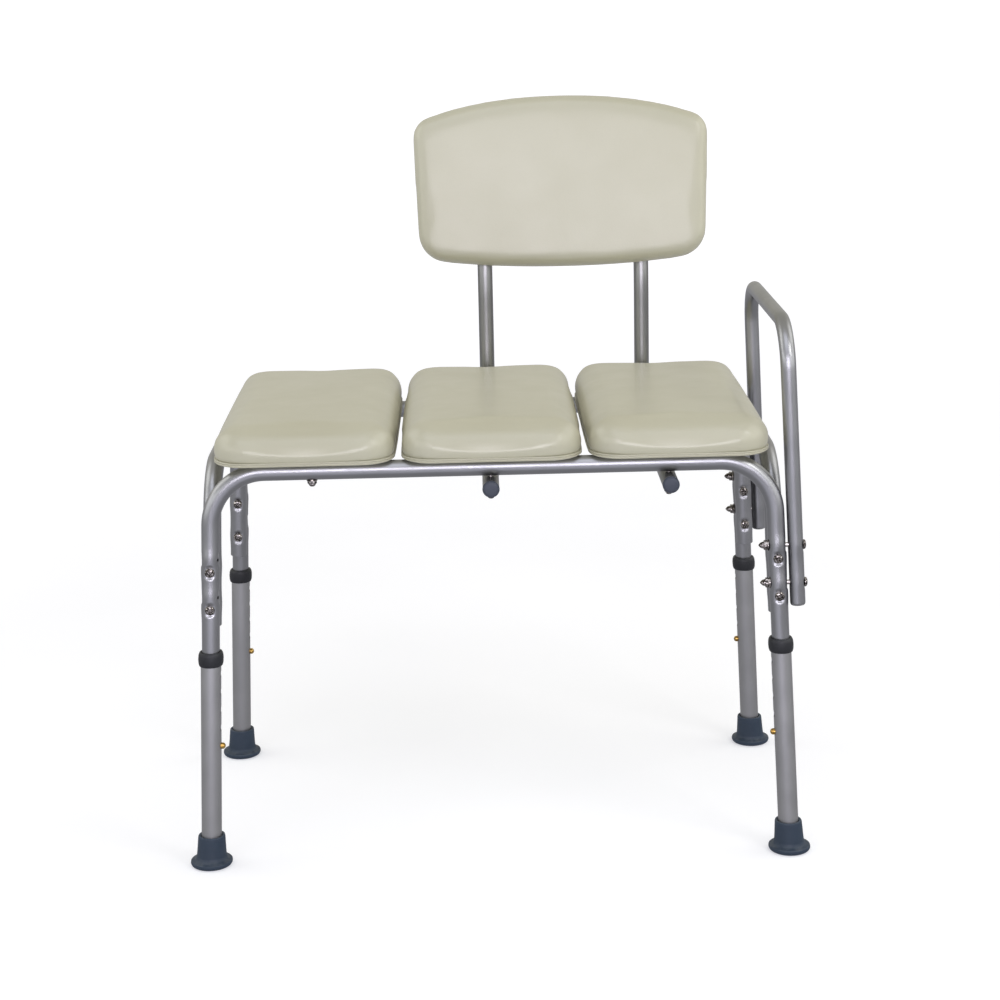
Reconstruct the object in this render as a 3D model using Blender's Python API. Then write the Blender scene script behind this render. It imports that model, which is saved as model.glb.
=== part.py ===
"""Bath transfer bench: tube frame, three padded seat sections, padded backrest and one armrest.

Metres, +Z up, -Y towards the bench's front edge, +X towards the armrest.
The origin is on the floor, midway between the four feet.
"""

import math

import bmesh
import bpy
from mathutils import Matrix, Vector

# Clearances
GAP = 0.0003
HOLE_PLAY = 0.0003

# Half lengths of the cutters that drill right through a tube, and through one wall of it
THROUGH = 0.014
ONE_WALL = 0.007

# Frame: the legs lean outwards, so their distance from the centre shrinks with height
FLOOR_HALF_X = 0.3660
FLOOR_HALF_Y = 0.1967
LEAN_X = 0.0450
LEAN_Y = 0.0343
RAIL_HEIGHT = 0.5037
RAIL_BEND = 0.068
SIDE_RAIL_BEND = 0.060
FRAME_TUBE = 0.0111
FRAME_WALL = 0.0012
FRAME_LEG_END = 0.120
SIDE_RAIL_END = 0.306

# Leg extensions
LEG_TUBE = 0.0127
LEG_WALL = 0.0010
LEG_TOP = 0.275
HOLE_PITCH = 0.0233
HOLE_COUNT = 5
BUTTON_HEIGHT = 0.157
COLLAR_BOTTOM = 0.2612
COLLAR_TOP = 0.2792
COLLAR_RADIUS = 0.0156
COLLAR_TAPER = 0.0013
COLLAR_BEVEL = 0.0035
END_SLACK = 0.0012

# Rubber feet: a flange, a neck that flares into it, and a sleeve with a bevelled lip
FOOT_RADIUS = 0.0265
FOOT_HEIGHT = 0.040
FOOT_FLOOR = 0.008
FLANGE_HEIGHT = 0.0074
FLANGE_BEVEL = 0.0015
NECK_RADIUS = 0.0187
NECK_HEIGHT = 0.0135
NECK_FLARE = 0.0020
SLEEVE_RADIUS = 0.0172
LIP_BEVEL = 0.0010

# Snap buttons, each on a leaf spring whose centre line is (along, up) from the button's foot
BUTTON_RADIUS = 0.0040
BUTTON_TIP = 0.0180
BUTTON_DOME = 0.0028
BUTTON_PLAY = 0.0005
LEAF_LINE = [
    (0.0060, 0.0084),
    (-0.0297, 0.0084),
    (-0.0340, 0.0060),
    (-0.0340, 0.0033),
    (-0.0099, -0.0031),
]
LEAF_THICKNESS = 0.0008
LEAF_WIDTH = 0.0060

# Bolts, nuts and screws
BOLT_SHANK = 0.0030
BOLT_HEAD = 0.0061
BOLT_HEAD_HEIGHT = 0.0034
BOLT_HEAD_BEVEL = 0.0022
BOLT_END = 0.0015
NUT_RADIUS = 0.0058
NUT_HEIGHT = 0.0045
ACORN_BORE = 0.0066
ACORN_DOME = 0.0050
ACORN_COLLAR = 0.0051
STUD_TIP = 0.0085
SCREW_BITE = 0.0050
LEG_BOLT_HEIGHTS = {"upper": 0.3814, "lower": 0.3339}

# Armrest
ARM_TUBE = 0.0095
THIN_WALL = 0.0012
ARM_OFFSET = 0.0232
ARM_HEIGHT = 0.6680
ARM_BEND = 0.055
ARM_END = 0.3225
ARM_BOLT_HEIGHTS = {"upper": 0.3965, "lower": 0.3490}
PLUG_BRIM = 0.0018
PLUG_BEVEL = 0.0012
PLUG_DEPTH = 0.0100

# Seat
PAD_WIDTH = 0.2205
PAD_PITCH = 0.2283
PAD_HALF_DEPTH = 0.212
PAD_CORNER = 0.040
BASE_THICKNESS = 0.007
BASE_INSET = 0.0010
BASE_BEVEL = 0.0025
PAD_TOP = 0.5572
PAD_CROWN_IN = 0.030
PAD_CROWN_DOWN = 0.022

# Backrest: its posts rise straight from the bars, then lean back behind the panel
BACK_TUBE = 0.0102
BACK_CENTRE_X = 0.107
BACK_HALF_BARS = 0.109
BACK_HALF_POSTS = 0.1075
BACK_BAR_FRONT = -0.208
BACK_BAR_DROP = 0.0003
BACK_POST_Y = 0.224
BACK_BEND = 0.040
BACK_FRAME_TOP = 0.868
BACK_RECLINE = math.radians(8.0)
BACK_LEAN_HEIGHT = 0.672
BACK_LEAN_BEND = 0.350
BACK_PANEL_X = 0.1060
BACK_WIDTH = 0.4035
BACK_HEIGHT = 0.2335
BACK_MIDDLE_HEIGHT = 0.8035
BACK_CROWN = 0.033
BACK_BELLY = 0.015
BACK_CURVE = 2.2
BACK_TOP_CORNER = 0.030
BACK_LOW_CORNER = 0.040
BACK_TAPER = 0.006
BACK_BOARD = 0.008
BACK_BOARD_INSET = 0.006
BACK_PADDING = 0.030
BACK_PADDING_IN = 0.020
BACK_PADDING_DOWN = 0.017
BACK_SCREW_OFFSETS = {"upper": 0.035, "lower": -0.055}
CAP_RADIUS = 0.0106
CAP_NOSE = 0.0042
CAP_EDGE = 0.0030
CAP_DEPTH = 0.0100

# Facets
TUBE_SIDES = 12
BEND_STEPS = 5
THIN_BEND_STEPS = 4
FOOT_SIDES = 16
BOLT_SIDES = 8
HOLE_SIDES = 8
NUT_SIDES = 6
CORNER_STEPS = 4
EDGE_STEPS = 3

SIDES = {"left": -1.0, "right": 1.0}
ENDS = {"front": -1.0, "rear": 1.0}
CORNERS = {f"{end}_{side}": (SIDES[side], ENDS[end]) for end in ENDS for side in SIDES}


def clear_scene():
    for item in list(bpy.data.objects):
        bpy.data.objects.remove(item, do_unlink=True)


def make_material(name, colour, roughness, metallic=0.0):
    material = bpy.data.materials.new(name)
    material.use_nodes = True
    shader = material.node_tree.nodes["Principled BSDF"]
    shader.inputs["Base Color"].default_value = (*colour, 1.0)
    shader.inputs["Roughness"].default_value = roughness
    shader.inputs["Metallic"].default_value = metallic
    material.diffuse_color = (*colour, 1.0)
    return material


def make_materials():
    return {
        "frame_aluminium": make_material("frame_aluminium", (0.60, 0.62, 0.65), 0.34, 0.9),
        "leg_aluminium": make_material("leg_aluminium", (0.50, 0.52, 0.54), 0.38, 0.9),
        "cream_vinyl": make_material("cream_vinyl", (0.56, 0.54, 0.42), 0.42),
        "cream_base": make_material("cream_base", (0.52, 0.50, 0.39), 0.5),
        "slate_rubber": make_material("slate_rubber", (0.045, 0.062, 0.09), 0.7),
        "collar_plastic": make_material("collar_plastic", (0.045, 0.048, 0.06), 0.55),
        "cap_plastic": make_material("cap_plastic", (0.07, 0.08, 0.11), 0.5),
        "nickel": make_material("nickel", (0.32, 0.30, 0.29), 0.28, 1.0),
        "brass": make_material("brass", (0.62, 0.42, 0.14), 0.3, 1.0),
    }


# ---------------------------------------------------------------- geometry


def leg_point(side, end, height):
    """A point on a leg's axis."""
    x = side * (FLOOR_HALF_X - LEAN_X * height)
    y = end * (FLOOR_HALF_Y - LEAN_Y * height)
    return Vector((x, y, height))


def leg_direction(side, end):
    """The way a leg extension slides out: down and outwards along the leg."""
    return Vector((side * LEAN_X, end * LEAN_Y, -1.0)).normalized()


def around(radius, sides):
    """The corner radius of a polygon whose flats lie at a given radius."""
    return radius / math.cos(math.pi / sides)


def bent_path(corners, radii, steps=BEND_STEPS):
    """A run of straight stretches whose inner corners are rounded, each to its own bend radius."""
    path = [corners[0].copy()]
    for before, corner, after, radius in zip(corners, corners[1:], corners[2:], radii):
        back = (before - corner).normalized()
        ahead = (after - corner).normalized()
        half_angle = back.angle(ahead) / 2
        centre = corner + (back + ahead).normalized() * (radius / math.sin(half_angle))
        start = corner + back * (radius / math.tan(half_angle)) - centre
        end = corner + ahead * (radius / math.tan(half_angle)) - centre
        sweep = start.angle(end)
        for step in range(steps + 1):
            share = step / steps
            spoke = (
                start * math.sin((1 - share) * sweep) + end * math.sin(share * sweep)
            ) / math.sin(sweep)
            path.append(centre + spoke)
    path.append(corners[-1].copy())
    return path


def ring_frames(path):
    """At each point of a path: the point and two directions square to the path."""
    runs = [(b - a).normalized() for a, b in zip(path, path[1:])]
    across = runs[0].orthogonal().normalized()
    frames = []
    for index, point in enumerate(path):
        before = runs[max(index - 1, 0)]
        after = runs[min(index, len(runs) - 1)]
        tangent = (before + after).normalized()
        across = (across - tangent * across.dot(tangent)).normalized()
        frames.append((point, across.copy(), tangent.cross(across)))
    return frames


def bridge(mesh, first, second):
    """Quads between two rings of equal length."""
    count = len(first)
    for i in range(count):
        j = (i + 1) % count
        mesh.faces.new((first[i], first[j], second[j], second[i]))


def finish_mesh(mesh, name):
    bmesh.ops.recalc_face_normals(mesh, faces=mesh.faces)
    if mesh.calc_volume(signed=True) < 0:
        bmesh.ops.reverse_faces(mesh, faces=mesh.faces)
    data = bpy.data.meshes.new(name)
    mesh.to_mesh(data)
    mesh.free()
    return data


def tube_mesh(name, path, outer, inner, sides=TUBE_SIDES):
    """A hollow tube with open ends along a path."""
    mesh = bmesh.new()
    outer_rings = []
    inner_rings = []
    for point, across, side in ring_frames(path):
        for store, radius in ((outer_rings, outer), (inner_rings, inner)):
            ring = []
            for i in range(sides):
                angle = math.tau * (i + 0.5) / sides
                spoke = across * math.cos(angle) + side * math.sin(angle)
                ring.append(mesh.verts.new(point + spoke * radius))
            store.append(ring)
    for rings in (outer_rings, inner_rings):
        for first, second in zip(rings, rings[1:]):
            bridge(mesh, first, second)
    bridge(mesh, outer_rings[0], inner_rings[0])
    bridge(mesh, outer_rings[-1], inner_rings[-1])
    return finish_mesh(mesh, name)


def turned_mesh(name, profile, sides, lean=(0.0, 0.0), ring_profile=False):
    """A solid turned about +Z from (radius, height) pairs.

    A profile that starts and ends at radius 0 closes on the axis. A ring profile closes on itself.
    lean shifts each ring sideways in proportion to its height.
    """
    mesh = bmesh.new()
    rings = []
    for radius, height in profile:
        centre = Vector((lean[0] * height, lean[1] * height, height))
        if radius == 0.0:
            rings.append([mesh.verts.new(centre)])
            continue
        ring = []
        for i in range(sides):
            angle = math.tau * (i + 0.5) / sides
            spoke = Vector((math.cos(angle), math.sin(angle), 0.0)) * radius
            ring.append(mesh.verts.new(centre + spoke))
        rings.append(ring)
    pairs = list(zip(rings, rings[1:]))
    if ring_profile:
        pairs.append((rings[-1], rings[0]))
    for first, second in pairs:
        if len(first) == 1 or len(second) == 1:
            tip, ring = (first, second) if len(first) == 1 else (second, first)
            for i in range(sides):
                mesh.faces.new((tip[0], ring[i], ring[(i + 1) % sides]))
        else:
            bridge(mesh, first, second)
    return finish_mesh(mesh, name)


def inset_outline(outline, distance):
    """A convex outline moved inwards by a distance."""
    moved = []
    count = len(outline)
    for i, (x, y) in enumerate(outline):
        before = outline[i - 1]
        after = outline[(i + 1) % count]
        along = Vector((after[0] - before[0], after[1] - before[1])).normalized()
        moved.append((x - along.y * distance, y + along.x * distance))
    return moved


def stacked_mesh(name, outline, levels):
    """A closed solid through copies of an outline, at (inset, height) levels from the bottom up."""
    mesh = bmesh.new()
    rings = []
    for inset, height in levels:
        ring = [mesh.verts.new((x, y, height)) for x, y in inset_outline(outline, inset)]
        rings.append(ring)
    for first, second in zip(rings, rings[1:]):
        bridge(mesh, first, second)
    mesh.faces.new(rings[0])
    mesh.faces.new(rings[-1])
    return finish_mesh(mesh, name)


def arc_points(centre, radius, start, end, steps):
    points = []
    for step in range(steps + 1):
        angle = start + (end - start) * step / steps
        points.append((centre[0] + radius * math.cos(angle), centre[1] + radius * math.sin(angle)))
    return points


def rounded_rectangle(half_x, half_y, radius, steps=CORNER_STEPS):
    """Anticlockwise outline of a rectangle with rounded corners."""
    outline = []
    quarter = math.pi / 2
    for turn, (sx, sy) in enumerate(((1, 1), (-1, 1), (-1, -1), (1, -1))):
        centre = (sx * (half_x - radius), sy * (half_y - radius))
        outline += arc_points(centre, radius, turn * quarter, (turn + 1) * quarter, steps)
    return outline


def rounded_edge(bottom, top, inward, down, foot=0.002, steps=EDGE_STEPS):
    """(inset, height) levels of a pad's side: a small foot radius, an upright side, a round top edge."""
    levels = [(foot, bottom), (0.0, bottom + foot)]
    for step in range(steps + 1):
        angle = math.pi / 2 * step / steps
        levels.append((inward * (1 - math.cos(angle)), top - down * (1 - math.sin(angle))))
    return levels


def round_corners(points, radii, steps=CORNER_STEPS):
    """A convex anticlockwise polygon with each corner rounded to its own radius (0 leaves it sharp)."""
    outline = []
    count = len(points)
    for i, radius in enumerate(radii):
        corner = Vector(points[i])
        if radius == 0.0:
            outline.append(tuple(corner))
            continue
        back = (Vector(points[i - 1]) - corner).normalized()
        ahead = (Vector(points[(i + 1) % count]) - corner).normalized()
        half_angle = back.angle(ahead) / 2
        centre = corner + (back + ahead).normalized() * (radius / math.sin(half_angle))
        reach = radius / math.tan(half_angle)
        start = corner + back * reach - centre
        end = corner + ahead * reach - centre
        first = math.atan2(start.y, start.x)
        sweep = (math.atan2(end.y, end.x) - first) % math.tau
        outline += arc_points(centre, radius, first, first + sweep, steps)
    return outline


def backrest_outline(margin=0.0):
    """Arched top, slightly bellied bottom, sides that close a little towards the bottom."""
    half = BACK_WIDTH / 2
    top = BACK_HEIGHT / 2
    shoulder = top - BACK_CROWN
    haunch = -top + BACK_BELLY
    arch = [0.62, 0.25, -0.25, -0.62]
    points = [(half, shoulder)]
    radii = [BACK_TOP_CORNER]
    for share in arch:
        points.append((half * share, top - BACK_CROWN * abs(share) ** BACK_CURVE))
        radii.append(0.0)
    points.append((-half, shoulder))
    radii.append(BACK_TOP_CORNER)
    points.append((-half + BACK_TAPER, haunch))
    radii.append(BACK_LOW_CORNER)
    for share in reversed(arch):
        points.append((half * share, -top + BACK_BELLY * abs(share) ** BACK_CURVE))
        radii.append(0.0)
    points.append((half - BACK_TAPER, haunch))
    radii.append(BACK_LOW_CORNER)
    return inset_outline(round_corners(points, radii), margin)


# ---------------------------------------------------------------- objects


def place(name, data, material, location=(0.0, 0.0, 0.0), rotation=None, parent=None):
    item = bpy.data.objects.new(name, data)
    bpy.context.scene.collection.objects.link(item)
    data.materials.append(material)
    for face in data.polygons:
        face.use_smooth = True
    data.set_sharp_from_angle(angle=math.radians(40))
    if parent:
        item.parent = parent
        location = Vector(location) - parent.location
    matrix = rotation.to_matrix().to_4x4() if rotation else Matrix.Identity(4)
    item.matrix_local = Matrix.Translation(location) @ matrix
    return item


def aim(direction):
    """The rotation that turns +Z to a direction."""
    return Vector(direction).to_track_quat("Z", "Y")


def place_empty(name, location):
    empty = bpy.data.objects.new(name, None)
    empty.location = location
    bpy.context.scene.collection.objects.link(empty)
    return empty


def drill(item, holes):
    """Cut round holes through an object: each is (centre, direction, radius, half length)."""
    mesh = bmesh.new()
    for centre, direction, radius, half_length in holes:
        matrix = Matrix.Translation(centre) @ aim(direction).to_matrix().to_4x4()
        bmesh.ops.create_cone(
            mesh,
            cap_ends=True,
            segments=HOLE_SIDES,
            radius1=radius,
            radius2=radius,
            depth=2 * half_length,
            matrix=matrix,
        )
    cutter = bpy.data.objects.new(f"cut_{item.name}", finish_mesh(mesh, f"cut_{item.name}"))
    bpy.context.scene.collection.objects.link(cutter)
    cutter.hide_render = True
    cutter.display_type = "WIRE"
    cut = item.modifiers.new("holes", "BOOLEAN")
    cut.operation = "DIFFERENCE"
    cut.object = cutter


def place_tube(name, path, outer, wall, material, holes=(), parent=None):
    """A hollow tube whose own origin is its first path point."""
    start = path[0].copy()
    data = tube_mesh(name, [point - start for point in path], outer, outer - wall)
    item = place(name, data, material, start, parent=parent)
    if holes:
        drill(item, holes)
    return item


# ---------------------------------------------------------------- sub-parts


def leg_holes(side, end, setback):
    """Clearance holes for a leg's bolts, in the end rail's leg (setback 0) or the side rail's leg."""
    holes = []
    for height in LEG_BOLT_HEIGHTS.values():
        centre = leg_point(side, end, height) - Vector((0, end * setback, 0))
        holes.append((centre, (0, 1, 0), BOLT_SHANK + HOLE_PLAY, THROUGH))
    if setback == 0.0:
        for height in ARM_BOLT_HEIGHTS.values():
            centre = leg_point(side, end, height)
            holes.append((centre, (1, 0, 0), BOLT_SHANK + HOLE_PLAY, THROUGH))
        centre = leg_point(side, end, BUTTON_HEIGHT) + button_direction(side) * LEG_TUBE
        holes.append((centre, button_direction(side), BUTTON_RADIUS + BUTTON_PLAY, ONE_WALL))
    return holes


def make_end_rails(paint):
    """The front and rear rails: one long tube each, bent down into two legs."""
    for end_name, end in ENDS.items():
        corners = [
            leg_point(-1, end, FRAME_LEG_END),
            leg_point(-1, end, RAIL_HEIGHT),
            leg_point(1, end, RAIL_HEIGHT),
            leg_point(1, end, FRAME_LEG_END),
        ]
        holes = leg_holes(-1, end, 0.0) + leg_holes(1, end, 0.0)
        for section in range(3):
            rail_y = corners[1].y
            stud_x = stud_across(back_frame_corners(), section, rail_y)
            centre = Vector((stud_x, rail_y, RAIL_HEIGHT))
            holes.append((centre, (0, 0, 1), BOLT_SHANK + HOLE_PLAY, THROUGH))
        path = bent_path(corners, [RAIL_BEND] * 2)
        place_tube(f"{end_name}_rail", path, FRAME_TUBE, FRAME_WALL, paint["frame_aluminium"], holes)


def side_rail_setback():
    return 2 * FRAME_TUBE + GAP


def make_side_rails(paint):
    """The side rails: shorter tubes, bent down inside the end rails' legs and bolted to them."""
    setback = side_rail_setback()
    for side_name, side in SIDES.items():
        corners = [
            leg_point(side, end, height) - Vector((0, end * setback, 0))
            for end, height in (
                (-1, SIDE_RAIL_END),
                (-1, RAIL_HEIGHT),
                (1, RAIL_HEIGHT),
                (1, SIDE_RAIL_END),
            )
        ]
        holes = leg_holes(side, -1, setback) + leg_holes(side, 1, setback)
        path = bent_path(corners, [SIDE_RAIL_BEND] * 2)
        place_tube(
            f"{side_name}_side_rail", path, FRAME_TUBE, FRAME_WALL, paint["frame_aluminium"], holes
        )


def button_direction(side):
    """Snap buttons point towards the middle of the bench, square to the leg."""
    return Vector((-side, 0.0, -LEAN_X)).normalized()


def strip_outline(line, thickness):
    """The outline of a thin strip seen edge on, from the points of its centre line."""
    points = [Vector(point) for point in line]
    runs = [(after - before).normalized() for before, after in zip(points, points[1:])]
    upper = []
    lower = []
    for index, point in enumerate(points):
        before = runs[max(index - 1, 0)]
        after = runs[min(index, len(runs) - 1)]
        square = Vector((-after.y, after.x))
        mitre = Vector((-before.y - after.y, before.x + after.x)).normalized()
        shift = mitre * (thickness / 2 / mitre.dot(square))
        upper.append(point + shift)
        lower.append(point - shift)
    return upper + lower[::-1]


def snap_button_mesh(name):
    """A leaf spring folded back on itself, along -X, and the domed button on it, along +Z."""
    outline = strip_outline(LEAF_LINE, LEAF_THICKNESS)
    mesh = bmesh.new()
    near = [mesh.verts.new((x, -LEAF_WIDTH / 2, z)) for x, z in outline]
    far = [mesh.verts.new((x, LEAF_WIDTH / 2, z)) for x, z in outline]
    bridge(mesh, near, far)
    mesh.faces.new(near)
    mesh.faces.new(far)
    leaf = finish_mesh(mesh, f"{name}_leaf")

    root = LEAF_LINE[0][1]
    dome_base = BUTTON_TIP - BUTTON_DOME
    profile = [(0.0, root), (BUTTON_RADIUS, root), (BUTTON_RADIUS, dome_base)]
    for angle in (0.5, 1.0):
        profile.append((BUTTON_RADIUS * math.cos(angle), dome_base + BUTTON_DOME * math.sin(angle)))
    profile.append((0.0, BUTTON_TIP))
    return leaf, turned_mesh(f"{name}_plug", profile, BOLT_SIDES)


def collar_profile():
    """A collar's wall: a sleeve around the extension, a narrower bore around the frame's leg."""
    height = COLLAR_TOP - COLLAR_BOTTOM
    step = LEG_TOP + END_SLACK - COLLAR_BOTTOM
    sleeve = around(LEG_TUBE + GAP, TUBE_SIDES)
    bore = around(FRAME_TUBE + GAP, TUBE_SIDES)
    return [
        (sleeve, 0.0),
        (COLLAR_RADIUS - COLLAR_TAPER, 0.0),
        (COLLAR_RADIUS, COLLAR_BEVEL),
        (COLLAR_RADIUS, height - COLLAR_BEVEL),
        (COLLAR_RADIUS - COLLAR_TAPER, height),
        (bore, height),
        (bore, step),
        (sleeve, step),
    ]


def foot_profile():
    """A rubber ferrule: flange on the floor, flared neck, sleeve around the extension, closed below."""
    bore = around(LEG_TUBE + GAP, FOOT_SIDES)
    return [
        (0.0, 0.0),
        (FOOT_RADIUS - FLANGE_BEVEL, 0.0),
        (FOOT_RADIUS, FLANGE_BEVEL),
        (FOOT_RADIUS, FLANGE_HEIGHT - FLANGE_BEVEL),
        (FOOT_RADIUS - FLANGE_BEVEL, FLANGE_HEIGHT),
        (NECK_RADIUS + NECK_FLARE, FLANGE_HEIGHT + NECK_FLARE / 2),
        (NECK_RADIUS, NECK_HEIGHT),
        (SLEEVE_RADIUS, FOOT_HEIGHT - LIP_BEVEL),
        (SLEEVE_RADIUS - LIP_BEVEL, FOOT_HEIGHT),
        (bore, FOOT_HEIGHT),
        (bore, FOOT_FLOOR),
        (0.0, FOOT_FLOOR),
    ]


def make_legs(paint):
    """Each leg extension with its holes, collar and rubber foot, and the snap button it locks on."""
    for corner, (side, end) in CORNERS.items():
        axis = leg_direction(side, end)
        lean = (-side * LEAN_X, -end * LEAN_Y)
        slide = place_empty(f"leg_slide_{corner}", leg_point(side, end, LEG_TOP))

        low = leg_point(side, end, FOOT_FLOOR + END_SLACK)
        holes = []
        for index in range(HOLE_COUNT):
            along = leg_point(side, end, BUTTON_HEIGHT) - axis * (index * HOLE_PITCH)
            centre = along + button_direction(side) * LEG_TUBE
            holes.append((centre, button_direction(side), BUTTON_RADIUS + BUTTON_PLAY, ONE_WALL))
        path = [low, slide.location.copy()]
        place_tube(
            f"leg_tube_{corner}", path, LEG_TUBE, LEG_WALL, paint["leg_aluminium"], holes, slide
        )

        name = f"collar_{corner}"
        collar = turned_mesh(name, collar_profile(), TUBE_SIDES, lean, True)
        low_end = leg_point(side, end, COLLAR_BOTTOM)
        place(name, collar, paint["collar_plastic"], low_end, parent=slide)

        name = f"foot_{corner}"
        foot = turned_mesh(name, foot_profile(), FOOT_SIDES, lean)
        place(name, foot, paint["slate_rubber"], leg_point(side, end, 0.0), parent=slide)

        name = f"snap_button_{corner}"
        leaf, plug = snap_button_mesh(name)
        outward = button_direction(side)
        upward = -axis
        across = upward.cross(outward).normalized()
        turn = Matrix((across.cross(outward), across, outward)).transposed().to_quaternion()
        seat_point = leg_point(side, end, BUTTON_HEIGHT)
        button = place(name, leaf, paint["brass"], seat_point, turn)
        dome = place(f"cut_{name}", plug, paint["brass"], seat_point, turn)
        dome.hide_render = True
        dome.display_type = "WIRE"
        union = button.modifiers.new("button", "BOOLEAN")
        union.operation = "UNION"
        union.object = dome


def bolt_profile(length, nut_at=None):
    """(radius, height) pairs of a pan-head bolt: underside of the head at 0, shank along +Z.

    nut_at adds the hex nut that is screwed on, its near face at that height.
    """
    profile = [
        (0.0, -BOLT_HEAD_HEIGHT),
        (BOLT_HEAD - BOLT_HEAD_BEVEL, -BOLT_HEAD_HEIGHT),
        (BOLT_HEAD, BOLT_HEAD_BEVEL - BOLT_HEAD_HEIGHT),
        (BOLT_HEAD, 0.0),
        (BOLT_SHANK, 0.0),
    ]
    if nut_at:
        profile += [
            (BOLT_SHANK, nut_at),
            (NUT_RADIUS, nut_at),
            (NUT_RADIUS, nut_at + NUT_HEIGHT),
            (BOLT_SHANK, nut_at + NUT_HEIGHT),
        ]
    profile += [(BOLT_SHANK, length), (0.0, length)]
    return profile


def make_leg_bolts(paint):
    """Two bolts join each side rail's leg to the end rail's leg, with the head at the front."""
    setback = side_rail_setback()
    for corner, (side, end) in CORNERS.items():
        for level, height in LEG_BOLT_HEIGHTS.items():
            start = leg_point(side, end, height)
            front_axis = start.y if end < 0 else start.y - setback
            start.y = front_axis - FRAME_TUBE - GAP
            nut_at = setback + 2 * FRAME_TUBE + 2 * GAP
            name = f"leg_bolt_{corner}_{level}"
            length = nut_at + NUT_HEIGHT + BOLT_END
            data = turned_mesh(name, bolt_profile(length, nut_at), BOLT_SIDES)
            place(name, data, paint["nickel"], start, aim((0, 1, 0)))


def stud_profile(length):
    """A seat stud with its domed nut: the nut's near face at 0, the stud along +Z."""
    dome = STUD_TIP - NUT_HEIGHT
    return [
        (0.0, -STUD_TIP),
        *arc_points((0.0, -NUT_HEIGHT), dome, -math.pi / 2, 0.0, 2)[1:],
        (NUT_RADIUS, -NUT_HEIGHT),
        (NUT_RADIUS, 0.0),
        (BOLT_SHANK, 0.0),
        (BOLT_SHANK, length),
        (0.0, length),
    ]


def acorn_profile():
    """A hexagon nut's collar and dome over a blind bore for the bolt, seat at 0."""
    bore = around(BOLT_SHANK + HOLE_PLAY, NUT_SIDES)
    dome = arc_points((0.0, ACORN_COLLAR), ACORN_DOME, 0.0, math.pi / 2, 4)[:-1]
    return [
        (0.0, ACORN_BORE),
        (bore, ACORN_BORE),
        (bore, 0.0),
        (NUT_RADIUS, 0.0),
        (NUT_RADIUS, NUT_HEIGHT),
        *dome,
        (0.0, ACORN_COLLAR + ACORN_DOME),
    ]


def make_armrest(paint):
    """A tube bent into a U upside down, bolted outside the right legs, with plugs in its ends."""
    offset = Vector((ARM_OFFSET, 0, 0))
    corners = [
        leg_point(1, -1, ARM_END) + offset,
        leg_point(1, -1, ARM_HEIGHT) + offset,
        leg_point(1, 1, ARM_HEIGHT) + offset,
        leg_point(1, 1, ARM_END) + offset,
    ]
    holes = []
    for end in ENDS.values():
        for height in ARM_BOLT_HEIGHTS.values():
            centre = leg_point(1, end, height) + offset
            holes.append((centre, (1, 0, 0), BOLT_SHANK + HOLE_PLAY, THROUGH))
    path = bent_path(corners, [ARM_BEND] * 2, THIN_BEND_STEPS)
    place_tube("armrest", path, ARM_TUBE, THIN_WALL, paint["frame_aluminium"], holes)

    plug_radius = ARM_TUBE * math.cos(math.pi / TUBE_SIDES) - THIN_WALL - GAP
    plug_profile = [
        (0.0, -PLUG_BRIM),
        (ARM_TUBE - PLUG_BEVEL, -PLUG_BRIM),
        (ARM_TUBE, -GAP),
        (plug_radius, -GAP),
        (plug_radius, PLUG_DEPTH),
        (0.0, PLUG_DEPTH),
    ]
    for end_name, end in ENDS.items():
        name = f"armrest_plug_{end_name}"
        data = turned_mesh(name, plug_profile, TUBE_SIDES)
        start = leg_point(1, end, ARM_END) + offset
        place(name, data, paint["collar_plastic"], start, aim(-leg_direction(1, end)))

    reach = ARM_OFFSET + ARM_TUBE + FRAME_TUBE + 2 * GAP
    for end_name, end in ENDS.items():
        for level, height in ARM_BOLT_HEIGHTS.items():
            middle = leg_point(1, end, height)
            head = middle + Vector((ARM_OFFSET + ARM_TUBE + GAP, 0, 0))
            name = f"armrest_bolt_{end_name}_{level}"
            data = turned_mesh(name, bolt_profile(reach + ACORN_BORE - 2 * GAP), BOLT_SIDES)
            place(name, data, paint["nickel"], head, aim((-1, 0, 0)))
            name = f"acorn_nut_{end_name}_{level}"
            data = turned_mesh(name, acorn_profile(), NUT_SIDES)
            seat = middle - Vector((FRAME_TUBE + GAP, 0, 0))
            place(name, data, paint["nickel"], seat, aim((-1, 0, 0)))


def post_y_at(height):
    """How far back the leaning stretch of a post is at a height."""
    return BACK_POST_Y + (height - BACK_LEAN_HEIGHT) * math.tan(BACK_RECLINE)


def back_frame_corners():
    """The backrest tube's corners: bars under the seat, posts behind it, one run across the top."""
    bar_height = RAIL_HEIGHT - FRAME_TUBE - BACK_BAR_DROP - BACK_TUBE
    top_y = post_y_at(BACK_FRAME_TOP)
    corners = []
    for side in (-1, 1):
        bar_x = BACK_CENTRE_X + side * BACK_HALF_BARS
        post_x = BACK_CENTRE_X + side * BACK_HALF_POSTS
        half = [
            Vector((bar_x, BACK_BAR_FRONT, bar_height)),
            Vector((post_x, BACK_POST_Y, bar_height)),
            Vector((post_x, BACK_POST_Y, BACK_LEAN_HEIGHT)),
            Vector((post_x, top_y, BACK_FRAME_TOP)),
        ]
        corners += half if side < 0 else reversed(half)
    return corners


def bar_x_at(corners, y):
    """How far across a bar is where it passes a given depth, for the left and the right bar."""
    share = (y - BACK_BAR_FRONT) / (BACK_POST_Y - BACK_BAR_FRONT)
    return [front.x + (post.x - front.x) * share for front, post in (corners[:2], corners[:-3:-1])]


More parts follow.
